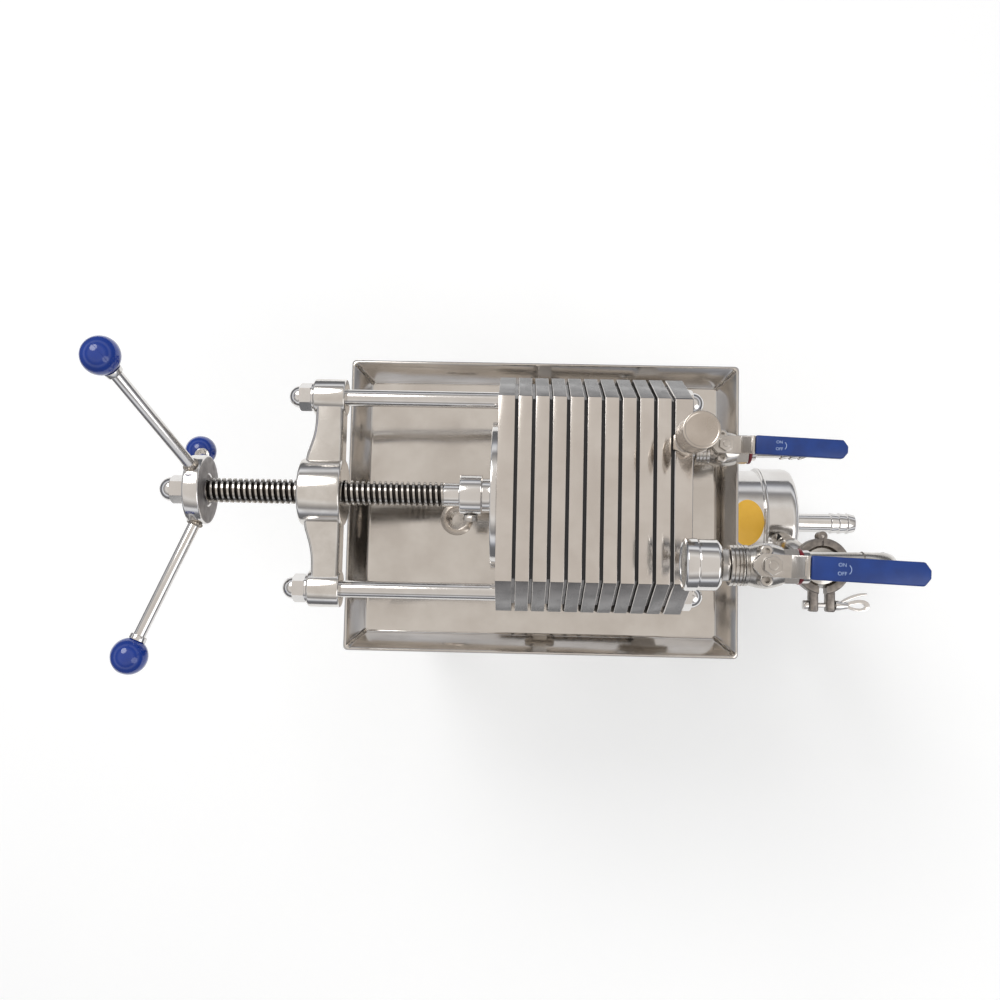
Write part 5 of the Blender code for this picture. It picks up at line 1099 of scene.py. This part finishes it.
@dataclass
class GaugeLine:
    """Riser, grooved tee, gauge and the upper nozzle."""

    riser_x: float = 0.0345
    riser_y: float = -0.0566
    gauge_y: float = GAUGE_Y
    level: float = GAUGE_LEVEL
    front: float = -0.0034
    case: float = 0.0193
    length: float = 0.0268
    bezel: float = 0.0105
    tee: float = 0.015

    def build(self) -> None:
        """Build the line from the feed pipe up."""
        self.build_riser()
        self.build_case()
        self.build_dial()
        start = at(0, self.gauge_y, self.level)
        start.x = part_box("bleed_nozzle")[0].x
        Shape().lathe(seat(start), [
            (0, 0.004), (0, 0.012, 0.0006), (0.005, 0.012, 0.0008), (0.0065, 0.0065, 0.0006),
            (0.02, 0.0065, 0.0008), (0.02, 0.004)], 64, ring=True) \
            .finish("nozzle", Look.POLISHED, BASE, "bleed_nozzle")

    def build_riser(self) -> None:
        """Build the riser, its foot weld and the grooved tee on top."""
        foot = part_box("riser")[0].z
        low = Vector((DATUM.x + self.riser_x, DATUM.y + self.riser_y, foot))
        top = at(0, 0, self.level).z - foot
        riser = Shape().lathe(seat(low, UP), [
            (0, 0.0098), (0.003, 0.01075, 0.002), (top - 0.019, 0.01075, 0.002),
            (top - 0.016, 0.0056, 0.001), (top, 0.0056)], 72)
        riser.bead(seat(low + UP * 0.0012, UP), 0.0104, 0.0017, 31)
        riser.finish("riser_pipe", Look.UPRIGHT, BASE, "riser")
        tee = [(-0.005, self.tee, 0.0006)]
        for k in (-0.0024, 0.0006, 0.0032):
            tee += [(k - 0.0005, self.tee), (k, self.tee - 0.0009), (k + 0.0005, self.tee)]
        tee += [(0.005, self.tee, 0.0006)]
        Shape().lathe(seat(at(self.riser_x, self.gauge_y, self.level)), tee, 80) \
            .finish("tee_ring", Look.SATIN, BASE)

    def build_case(self) -> None:
        """Build the gauge's case, its bezel, its neck and its pane."""
        placed = seat(at(self.front, self.gauge_y, self.level))
        shell = self.case - 0.0006
        glass = self.case - 0.0026
        case = Shape().lathe(placed, [
            (0.0042, glass), (0.0008, glass, 0.0004), (0.0, glass + 0.0008, 0.0006),
            (0.0, self.case - 0.0012, 0.0012), (0.0014, self.case, 0.0008),
            (self.bezel - 0.0012, self.case, 0.0006), (self.bezel - 0.0008, shell - 0.0004),
            (self.bezel, shell, 0.0004), (self.length - 0.003, shell, 0.002),
            (self.length, self.case - 0.0042, 0.0012)], 96)
        case.finish("gauge_case", Look.POLISHED, BASE, "pressure_gauge", crease=26)
        neck = Shape().prism(placed, hexagon(0.023, math.pi / 6), self.length - 0.001, self.length + 0.0057,
                             0.0007)
        neck.finish("gauge_neck", Look.SATIN, BASE)
        Shape().lathe(placed, [
            (0.001, glass - 0.0001), (0.0022, glass - 0.0001)], 96).finish("gauge_pane", Look.PANE, BASE)

    def build_dial(self) -> None:
        """Build the dial card with ticks, plain numbers and a needle."""
        placed = seat(at(self.front, self.gauge_y, self.level))
        radius = self.case - 0.0029
        Shape().lathe(placed, [(0.0036, radius), (0.0042, radius)], 72).finish("gauge_dial", Look.DIAL, BASE)
        ink = Shape()
        for k in range(31):
            angle = math.radians(225 - 9 * k)
            turn = placed @ Matrix.Rotation(angle, 4, "X")
            long = k % 5 == 0
            ink.block(turn, (0.0034, radius - (0.0034 if long else 0.002), -0.00022 if long else -0.0001),
                      (0.00365, radius - 0.0006, 0.00022 if long else 0.0001))
        needle = placed @ Matrix.Rotation(math.radians(225), 4, "X")
        ink.prism(needle, [
            (-0.004, -0.0007), (0.01, -0.0002), (0.0112, 0), (0.01, 0.0002), (-0.004, 0.0007)],
            0.0028, 0.0031)
        ink.lathe(placed, [(0.0024, 0.0016, 0.0004), (0.0036, 0.0018)], 32)
        for k in range(7):
            angle = math.radians(225 - 45 * k)
            spot = (0.0035, (radius - 0.0058) * math.cos(angle), (radius - 0.0058) * math.sin(angle))
            facing = Matrix(((0, 0, -1), (-1, 0, 0), (0, 1, 0))).to_4x4()
            ink.word(placed @ Matrix.Translation(spot) @ facing, str(k), 0.0036)
        ink.finish("gauge_print", Look.INK, BASE)


@dataclass
class Vent:
    """Vent cap that screws onto a ribbed neck on the fixed plate."""

    x: float = 0.0075
    y: float = 0.0385
    level: float = 0.0875
    neck: float = 0.008
    neck_end: float = 0.0413
    rib: float = 0.00875
    cap: float = 0.0141
    cap_height: float = 0.036

    def build(self) -> None:
        """Build the hexagon, the ribbed neck and the rolled cap."""
        placed = seat(at(self.x, self.y, self.level), UP)
        neck_end = self.neck_end
        top = neck_end + self.cap_height
        vent = Shape().prism(placed, hexagon(0.019), 0.0003, 0.0083, 0.0008)
        section = [(-0.008, 0.006), (0.0003, 0.006), (0.0003, 0.0083), (0.0083, 0.0083)]
        for k in range(11):
            x = 0.0095 + 0.0028 * k
            section += [(x, self.neck), (x + 0.0006, self.rib, 0.0002), (x + 0.0016, self.rib, 0.0002),
                        (x + 0.0022, self.neck)]
        section += [(neck_end - 0.0002, 0.008)]
        vent.lathe(placed, section, 64)
        cap = [
            (neck_end, self.cap - 0.001, 0.0006), (neck_end + 0.002, self.cap, 0.0012),
            (neck_end + 0.005, self.cap, 0.0008), (neck_end + 0.0062, self.cap - 0.0006, 0.0006),
            (top - 0.0062, self.cap - 0.0006, 0.0006), (top - 0.005, self.cap, 0.0008),
            (top - 0.0002, self.cap, 0.0014), (top, self.cap - 0.0016, 0.0006),
            (top - 0.0003, self.cap - 0.0022, 0.0005)]
        vent.lathe(placed, cap, 96)
        vent.finish("vent_cap_turned", Look.TURNED_UPRIGHT, BASE, "vent_cap", crease=34)


@dataclass
class FeedLine:
    """Feed pipe from the fixed plate down to the clamp, and the bent pipe from the pump."""

    start: tuple[float, float, float] = (PORT_X, -0.057, -0.04)
    radius: float = 0.01125
    bend: float = 0.03
    fit: float = 0.0003
    discharge: tuple[float, float] = (0.204, -0.03)

    def ferrule(self, out: float) -> list[tuple]:
        """Return the section of a ferrule that runs up, or down, from its face."""
        return [
            (0, 0.02525, 0.0003), (0.0015 * out, 0.02525, 0.0004), (0.0045 * out, 0.0207, 0.001),
            (0.0073 * out, self.radius + 0.0014, 0.0015), (0.0168 * out, self.radius + 0.0006, 0.0003)]

    def build(self) -> None:
        """Build both pipes with their welds and ferrules."""
        start = at(*self.start)
        corner = at(CLAMP_X, CLAMP_Y, self.start[2])
        run = (corner - start).normalized()
        turn = corner - run * self.bend
        route = [start, start + run * 0.06, start + run * 0.12, turn]
        for k in range(1, 15):
            angle = math.pi / 2 * k / 14
            route.append(turn + run * self.bend * math.sin(angle) - UP * (self.bend * (1 - math.cos(angle))))
        face = at(CLAMP_X, CLAMP_Y, CLAMP_LEVEL)
        route += [face + UP * 0.1, face + UP * 0.012]
        pipe = Shape().tube(route, self.radius, 48)
        pipe.lathe(seat(start, run), [(0, 0.016), (0.008, 0.016, 0.001)], 64)
        pipe.lathe(seat(face + UP * (self.fit / 2), UP), self.ferrule(1), 80)
        pipe.finish("feed_line", Look.SATIN, BASE, "feed_pipe")
        welds = Shape().bead(seat(start + run * 0.0084, run), self.radius + 0.0003, 0.0015, 33)
        low = turn + run * self.bend - UP * self.bend
        for spot, along in ((turn, run), (low, -UP), (face + UP * 0.0168, UP)):
            welds.bead(seat(spot, along), self.radius - 0.0003, 0.0009, 41)
        welds.finish("feed_welds", Look.WELD, BASE)
        self.build_discharge(face)

    def build_discharge(self, face: Vector) -> None:
        """Build the pipe that rises from the pump and bends out to the clamp."""
        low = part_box("discharge_pipe")[0]
        root = Vector((DATUM.x + self.discharge[0], DATUM.y + self.discharge[1], low.z + 0.001))
        knee = root + UP * 0.017
        upper = face - UP * 0.03
        route = [root]
        for k in range(15):
            t = k / 14
            blend = t * t * (3 - 2 * t)
            x, y, z = (a + (b - a) * share for a, b, share in zip(knee, upper, (blend, blend, t)))
            route.append(Vector((x, y, z)))
        route.append(face - UP * 0.012)
        pipe = Shape().tube(route, 0.0125, 48)
        pipe.lathe(seat(face - UP * (self.fit / 2), UP), self.ferrule(-1), 80)
        pipe.bead(seat(root + UP * 0.0068, UP), 0.0126, 0.0016, 33)
        pipe.finish("discharge_bend", Look.SATIN, BASE, "discharge_pipe")


@dataclass
class Clamp:
    """Cast ring in two halves with its hinge, lugs, bolt and wing nut."""

    outer: float = 0.032
    inner: float = 0.0258
    half: float = 0.0075
    bolt_offset: float = 0.0125

    def build(self) -> None:
        """Build the ring and the bolt."""
        centre = at(CLAMP_X, CLAMP_Y, CLAMP_LEVEL)
        placed = seat(centre, UP)
        ring = Shape().lathe(placed, [
            (-self.half, self.inner - 0.003, 0.0006), (-self.half, self.outer - 0.0012, 0.0012),
            (-self.half + 0.0016, self.outer, 0.001), (self.half - 0.0016, self.outer, 0.001),
            (self.half, self.outer - 0.0012, 0.0012), (self.half, self.inner - 0.003, 0.0006),
            (0.0038, self.inner - 0.0003), (-0.0038, self.inner - 0.0003)], 96, ring=True)
        for side in (-1, 1):
            near, far = sorted((side * 0.0045, side * 0.0145))
            lug = Shape().block(seat(centre), (near, -self.outer - 0.02, -0.0062),
                                (far, -self.outer + 0.005, 0.0062), 0.0022, 3)
            ring.carve(lug, "UNION")
        ring.carve(Shape().block(seat(centre), (-0.0045, -2 * self.outer, -0.02), (0.0045, -0.02, 0.02)))
        ring.carve(Shape().block(seat(centre), (-0.0006, 0.02, -0.02), (0.0006, 2 * self.outer, 0.02)))
        for low, high in ((-0.007, -0.0024), (-0.002, 0.002), (0.0024, 0.007)):
            ring.lathe(seat(centre + FAR * (self.outer + 0.002), UP), [
                (low, 0.0055, 0.0006), (high, 0.0055, 0.0006)], 40)
        ring.finish("clamp_casting", Look.CAST, BASE, "clamp_ring", crease=40)
        pin = Shape().lathe(seat(centre + FAR * (self.outer + 0.002), UP), [
            (-0.0072, 0.0018), (0.0074, 0.0018, 0.0005)], 28)
        pin.finish("clamp_pin", Look.SATIN, BASE)
        self.build_bolt(centre - FAR * (self.outer + self.bolt_offset))

    def build_bolt(self, centre: Vector) -> None:
        """Build the bolt and its wing nut with a looped wing."""
        placed = seat(centre)
        bolt = Shape().lathe(placed, [
            (-0.021, 0.0055, 0.0012), (-0.0152, 0.0055, 0.0006), (-0.0152, 0.003), (0.016, 0.003)], 48)
        bolt.lathe(placed, [(0.0152, 0.0062, 0.0006), (0.0195, 0.006, 0.001), (0.03, 0.0038, 0.001)], 48)
        loop = self.loop(0.0396, 0.0004, 0.015, 0.0078)
        hole = self.loop(0.0402, -0.0001, 0.0084, 0.003)
        eye = Shape().prism(seat(centre, UP, FAR), loop, -0.0021, 0.0021)
        eye.carve(Shape().prism(seat(centre, UP, FAR), hole, -0.01, 0.01))
        eye.ease(0.0011, 3, 50)
        bolt.join(eye)
        above, below = [], []
        for k in range(15):
            x = 0.019 + 0.0023 * k
            y = 0.0022 + 0.0112 * math.sin(k / 14 * math.pi / 2)
            swell = 0.0014 + 0.0008 * math.sin(k / 14 * math.pi)
            above.append((x, y + swell))
            below.insert(0, (x, y - swell))
        wing = Shape().prism(seat(centre, UP, FAR), above + below, -0.0036, 0.0036)
        wing.ease(0.001, 3, 50)
        bolt.join(wing)
        bolt.finish("clamp_bolt_turned", Look.POLISHED, BASE, "clamp_bolt", crease=38)

    def loop(self, middle: float, rise: float, reach: float, half: float) -> list[tuple[float, float]]:
        """Return a pointed oval."""
        turns = [math.tau * k / 40 for k in range(40)]
        return [(middle + reach * math.cos(a), rise + half * math.sin(a) * (0.82 + 0.28 * math.cos(a)))
                for a in turns]


@dataclass
class Pump:
    """Round polished casing with a seam band and a cover."""

    front: float = 0.22
    y: float = PUMP_Y
    level: float = PUMP_LEVEL
    radius: float = 0.0684
    rear_radius: float = 0.0655
    seam: float = 0.0688
    dot: float = 0.0225
    dot_at: tuple[float, float] = (-0.0635, -0.0045)

    def build(self) -> None:
        """Build the casing, the painted dark reflection on it and its dot."""
        placed = seat(at(self.front, self.y, self.level))
        casing = Shape().lathe(placed, [
            (-0.0835, self.rear_radius, 0.003), (-0.0435, self.rear_radius, 0.0006),
            (-0.0435, self.seam, 0.0008),
            (-0.0414, 0.0696, 0.0006), (-0.0412, 0.0678), (-0.0408, 0.0678), (-0.0406, 0.0696, 0.0006),
            (-0.0385, self.seam, 0.0008), (-0.0385, self.radius, 0.0004), (0, self.radius, 0.01),
            (0, 0.03, 0.0004), (-0.001, 0.029, 0.0004), (-0.001, 0.02, 0.0006), (0.0, 0.019), (0, 0)], 144)
        casing.finish("pump_shell", Look.POLISHED, BASE, "pump_casing", crease=30)
        # A dark triangle on the casing where it mirrors the valve above: a painted reflection
        marks = Shape()
        angle = math.radians(18)
        outward = Vector((0, -math.sin(angle), math.cos(angle)))
        spot = at(self.front - 0.025, self.y, self.level) + outward * self.radius
        reflection_outline = [(-0.0052, -0.003), (0.0, 0.003), (0.0052, -0.003)]
        marks.prism(seat(spot, outward, RIGHT), reflection_outline, -0.0006, 0.0001)
        marks.finish("pump_pointer", Look.INK, BASE)
        self.build_dot()

    def build_dot(self) -> None:
        """Lay the bare oval vinyl dot on the curved rear half."""
        dot = bmesh.new()
        bmesh.ops.create_circle(dot, cap_ends=False, segments=72, radius=self.dot)
        ring = dot.edges[:]
        for share in (0.85, 0.65, 0.42, 0.18):
            inner, ring = grow(dot, ring)
            factor = share * self.dot / inner[0].co.to_2d().length
            bmesh.ops.scale(dot, verts=inner, vec=(factor, factor, 1))
        bmesh.ops.edgeloop_fill(dot, edges=ring)
        for vert in dot.verts:
            y = vert.co.y * 1.25 + self.dot_at[1]
            z = math.sqrt(self.rear_radius ** 2 - y * y) + 5e-5
            vert.co = Vector((vert.co.x * 0.87 + self.dot_at[0], y, z))
        bmesh.ops.recalc_face_normals(dot, faces=dot.faces)
        if dot.faces[:][0].normal.z < 0:
            bmesh.ops.reverse_faces(dot, faces=dot.faces[:])
        bmesh.ops.solidify(dot, geom=dot.faces[:], thickness=-0.00018)
        Shape().take(dot, seat(at(self.front, self.y, self.level))) \
            .finish("pump_dot", Look.VINYL, BASE, crease=50)


@dataclass
class Motor:
    """Finned motor with a cowl, a terminal box and a foot."""

    y: float = PUMP_Y
    level: float = PUMP_LEVEL
    rear: float = 0.1365
    radius: float = 0.059
    fins: int = 36

    def build(self) -> None:
        """Build the ribbed frame, the cowl, the box and the foot."""
        placed = seat(at(self.rear, self.y, self.level))
        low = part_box("motor")[0].x - at(self.rear, 0, 0).x
        body = Shape().lathe(placed, [
            (low + 0.03, 0.0535), (-0.0123, 0.0535, 0.001), (-0.0123, 0.065, 0.0012), (-0.0003, 0.065, 0.001)], 96)
        for k in range(self.fins):
            turn = placed @ Matrix.Rotation(math.tau * (k + 0.5) / self.fins, 4, "X")
            body.block(turn, (low + 0.042, -0.0011, 0.05), (-0.0163, 0.0011, self.radius), 0.0006, 1)
        middle = (low + 0.042 - 0.0163) / 2
        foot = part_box("motor")[0].z - at(0, 0, self.level).z
        body.block(placed, (middle - 0.045, -0.055, foot), (middle + 0.045, 0.055, foot + 0.008), 0.0018)
        body.block(placed, (middle - 0.0445, -0.035, foot + 0.004), (middle + 0.0445, 0.035, -0.041), 0.003)
        body.finish("motor_frame", Look.ENAMEL, BASE, "motor", crease=34)
        self.build_cowl(placed, low)
        self.build_box(placed, middle)
        bolts = Shape()
        for sx in (-0.034, 0.034):
            for sy in (-0.046, 0.046):
                HexBolt(0.01, 0.0064).add(bolts, seat(placed @ Vector((middle + sx, sy, foot + 0.0079)), UP))
        bolts.finish("motor_foot_bolts", Look.SATIN, BASE)

    def build_cowl(self, placed: Matrix, low: float) -> None:
        """Build the fan cowl with rings of slots at its back."""
        cowl = Shape().lathe(placed, [
            (low, 0.053, 0.005), (low + 0.006, 0.06, 0.004), (low + 0.038, 0.06, 0.0008)], 96)
        slots = Shape()
        for ring, count in ((0.018, 12), (0.028, 18), (0.038, 24), (0.046, 30)):
            for k in range(count):
                turn = placed @ Matrix.Rotation(math.tau * k / count, 4, "X")
                slots.block(turn, (low - 0.004, ring - 0.0028, -0.0013),
                            (low + 0.0025, ring + 0.0028, 0.0013))
        cowl.carve(slots)
        cowl.finish("motor_cowl", Look.MOULDING, BASE, crease=34)

    def build_box(self, placed: Matrix, middle: float) -> None:
        """Build the terminal box with its lid, screws and gland."""
        top = self.radius + 0.03
        box = Shape().block(placed, (middle - 0.034, -0.029, 0.046), (middle + 0.034, 0.029, top - 0.009),
                            0.003, 3)
        box.block(placed, (middle - 0.035, -0.03, top - 0.0085), (middle + 0.035, 0.03, top), 0.003, 3)
        gland = seat(placed @ Vector((middle, -0.0285, self.radius + 0.008)), -FAR)
        box.prism(gland, hexagon(0.019), 0.0, 0.006, 0.0008)
        box.lathe(gland, [(0.006, 0.0085, 0.0008), (0.013, 0.0075, 0.0016)], 40)
        box.finish("motor_terminal_box", Look.MOULDING, BASE, crease=38)
        screws = Shape()
        for sx in (-0.029, 0.029):
            for sy in (-0.024, 0.024):
                spot = seat(placed @ Vector((middle + sx, sy, top - 0.0004)), UP)
                screws.lathe(spot, [(0, 0.0026), (0.0003, 0.0026, 0.0003)], 24)
        screws.finish("motor_box_screws", Look.SATIN, BASE)


@dataclass
class Stand:
    """Four tube legs on rubber feet, the shelf and the supports on the tray."""

    def build(self) -> None:
        """Build the legs, the feet, the shelf and the supports."""
        for end in ("left_far", "left_near", "right_far", "right_near"):
            leg = Shape("leg_" + end).ease(0.0006, 2, 40)
            leg.finish(f"leg_tube_{end}", Look.UPRIGHT, BASE, "leg_" + end)
            low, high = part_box("foot_" + end)
            centre = Vector(((low.x + high.x) / 2, (low.y + high.y) / 2, low.z))
            Shape().lathe(seat(centre, UP), [
                (0, 0.0165, 0.001), (0.0016, 0.017, 0.0006), (0.006, 0.017, 0.002), (0.0115, 0.012, 0.002),
                (0.018, 0.0092, 0.0012)], 64).finish(f"foot_pad_{end}", Look.RUBBER, BASE, "foot_" + end)
            nut = Shape().prism(seat(centre + UP * 0.0186, UP), hexagon(0.018), 0, 0.0055, 0.0007)
            nut.finish(f"foot_nut_{end}", Look.SATIN, BASE)
        shelf = Shape("motor_shelf").ease(0.0008, 3, 40)
        shelf.finish("shelf_sheet", Look.TRAY, BASE, "motor_shelf", crease=34)
        self.build_supports()

    def build_supports(self) -> None:
        """Build the foot under the fixed plate and the posts under the rods."""
        Shape("head_foot").ease(0.0009, 3, 20).finish("plate_foot", Look.SATIN, BASE, "head_foot", crease=30)
        bolts = Shape()
        low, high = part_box("head_foot")
        for x in (low.x + 0.007, high.x - 0.007):
            for y in (low.y + 0.014, high.y - 0.014):
                HexBolt().add(bolts, seat(Vector((x, y, low.z + 0.0059)), UP))
        for side in ("far", "near"):
            node = "rod_post_" + side
            Shape(node).ease(0.0007, 2, 40).finish(f"post_{side}", Look.UPRIGHT, BASE, node)
            low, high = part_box(node)
            for x in (low.x + 0.0044, high.x - 0.0044):
                spot = Vector((x, (low.y + high.y) / 2, low.z + 0.0049))
                HexBolt(0.007, 0.0034).add(bolts, seat(spot, UP))
        bolts.finish("support_bolts", Look.SATIN, BASE)


@dataclass
class Outlet:
    """Port and nipple in front of the lower valve."""

    pipe: float = 0.01075

    def build(self) -> None:
        """Build the port with its thread."""
        placed = seat(at(PORT_X, OUTLET_Y, OUTLET_LEVEL))
        port = Shape().lathe(placed, [
            (0, 0.016), (0.008, 0.016, 0.0012), (0.008, self.pipe, 0.0006), (0.0221, self.pipe)], 72)
        for k in range(5):
            port.bead(placed @ Matrix.Translation((0.0125 + 0.0018 * k, 0, 0)), self.pipe, 0.0004, 0, 48)
        port.finish("outlet_nipple", Look.SATIN, BASE, "outlet_port")


@dataclass
class Studio:
    """Pale floor, soft light and the camera."""

    lens: float = 35.6546
    width: float = 36.0
    place: tuple[float, float, float] = (-0.0396, -0.05667, 1.39866)
    axes: tuple[tuple[float, float, float], ...] = (
        (0.99958, -0.0204, 0.02057), (0.02183, 0.99716, -0.07211), (-0.01904, 0.07253, 0.99718))
    floor_radius: float = 1.3
    floor_glow: float = 0.12

    def build(self) -> None:
        """Build the floor, the sky, the lamps and the camera."""
        self.build_floor()
        self.build_sky()
        self.build_lamp("key", Vector((-0.9, 1.1, 2.1)), 1.2, 17.0)
        self.build_lamp("fill", Vector((1.3, -0.9, 1.7)), 1.4, 8.0)
        self.build_camera()
        bpy.context.scene.view_settings.view_transform = "Standard"

    def build_floor(self) -> None:
        """Lay a wide pale floor."""
        part = bmesh.new()
        bmesh.ops.create_circle(part, cap_ends=True, segments=96, radius=self.floor_radius)
        mesh = bpy.data.meshes.new("floor")
        part.to_mesh(mesh)
        part.free()
        material, tree, shader, place = start_material("pale_floor")
        pale = mixed(tree, noise(tree, place, (3, 3, 3), 2.0), linear("#FBFBFA"), linear("#F8F8F7"))
        feed(tree, shader, {"Base Color": pale, "Roughness": 0.9, "Emission Color": (1, 1, 1, 1),
                            "Emission Strength": self.floor_glow})
        mesh.materials.append(material)
        floor = stand("floor", mesh)

    def build_sky(self) -> None:
        """Give a soft room: white to the eye, with pale and dim bands for the metal to mirror."""
        world = bpy.data.worlds.new("room")
        bpy.context.scene.world = world
        world.use_nodes = True
        tree = world.node_tree
        tree.nodes.clear()
        ray = add_node(tree, "LightPath")
        direction = add_node(tree, "TexCoord").outputs["Generated"]
        height = add_node(tree, "SeparateXYZ", {0: direction})
        ramp = add_node(tree, "ValToRGB", {0: spread(tree, height.outputs["Z"], 0.0, 1.0, -1.0, 1.0)})
        stops = [
            (0.0, "#4E5054"), (0.3, "#6E6F72"), (0.5, "#7E7F83"), (0.55, "#A5A8B0"), (0.6, "#E9ECF2"),
            (0.66, "#F6F7FA"), (0.72, "#8B8A8C"), (0.8, "#B9B6B3"), (0.88, "#F0EDEA"), (0.93, "#E4DED8"),
            (1.0, "#E2DCD6")]
        band = ramp.color_ramp.elements
        band[0].color = linear(stops[0][1])
        band[1].color = linear(stops[-1][1])
        for spot, code in stops[1:-1]:
            band.new(spot).color = linear(code)
        rays = {0: ray.outputs["Is Glossy Ray"], 1: ray.outputs["Is Transmission Ray"]}
        shown = add_node(tree, "Math", rays, operation="MAXIMUM")
        soft = mixed(tree, shown.outputs[0], linear("#D6D6D7"), ramp.outputs[0])
        plain = mixed(tree, ray.outputs["Is Camera Ray"], soft, (1.0, 1.0, 1.0, 1.0))
        light = add_node(tree, "Background", {"Color": plain, "Strength": 1.0})
        add_node(tree, "OutputWorld", {0: light.outputs[0]})

    def build_lamp(self, name: str, spot: Vector, size: float, power: float) -> None:
        """Hang one soft lamp that faces the press."""
        lamp = bpy.data.lights.new(name, "AREA")
        lamp.shape = "DISK"
        lamp.size = size
        lamp.energy = power
        holder = stand(name, lamp)
        holder.location = spot
        holder.rotation_euler = (spot - UP * 0.5).to_track_quat("Z", "Y").to_euler()

    def build_camera(self) -> None:
        """Set the camera above the press, as the photograph was taken."""
        lens = bpy.data.cameras.new("camera")
        lens.lens = self.lens
        lens.sensor_width = self.width
        camera = stand("camera", lens)
        camera.matrix_world = Matrix.Translation(self.place) @ Matrix(self.axes).to_4x4()
        bpy.context.scene.camera = camera


def main() -> None:
    """Build every sub-assembly in order, then the studio."""
    logging.basicConfig(level=logging.INFO, format="%(message)s")
    outlet = Valve("outlet", "outlet_lever", 0.0377, OUTLET_Y, OUTLET_LEVEL, ring_length=0.0125)
    bleed = Valve("bleed", "bleed_lever", 0.0398, GAUGE_Y, GAUGE_LEVEL, ring_length=0.003)
    tail = HoseTail("hose_tail", "outlet_tail", OUTLET_Y, OUTLET_LEVEL, shank=0.027, radius=0.007,
                    barb=0.0086, barb_length=0.0085, bore=0.005)
    suction = HoseTail("suction_tail", "suction_barb", PUMP_Y, PUMP_LEVEL, shank=0.054, radius=0.012,
                       barb=0.0135, barb_length=0.0105, bore=0.0095)
    for part in (StarHandle(), PressScrew(), ThrustHead(), Yoke(), TieRods(), PlatePack(), DripTray(),
                 Outlet(), outlet, tail, GaugeLine(), bleed, Vent(), FeedLine(), Clamp(), Pump(), suction,
                 Motor(), Stand(), Studio()):
        LOG.info("building %s", type(part).__name__)
        part.build()


if __name__ == "__main__":
    main()
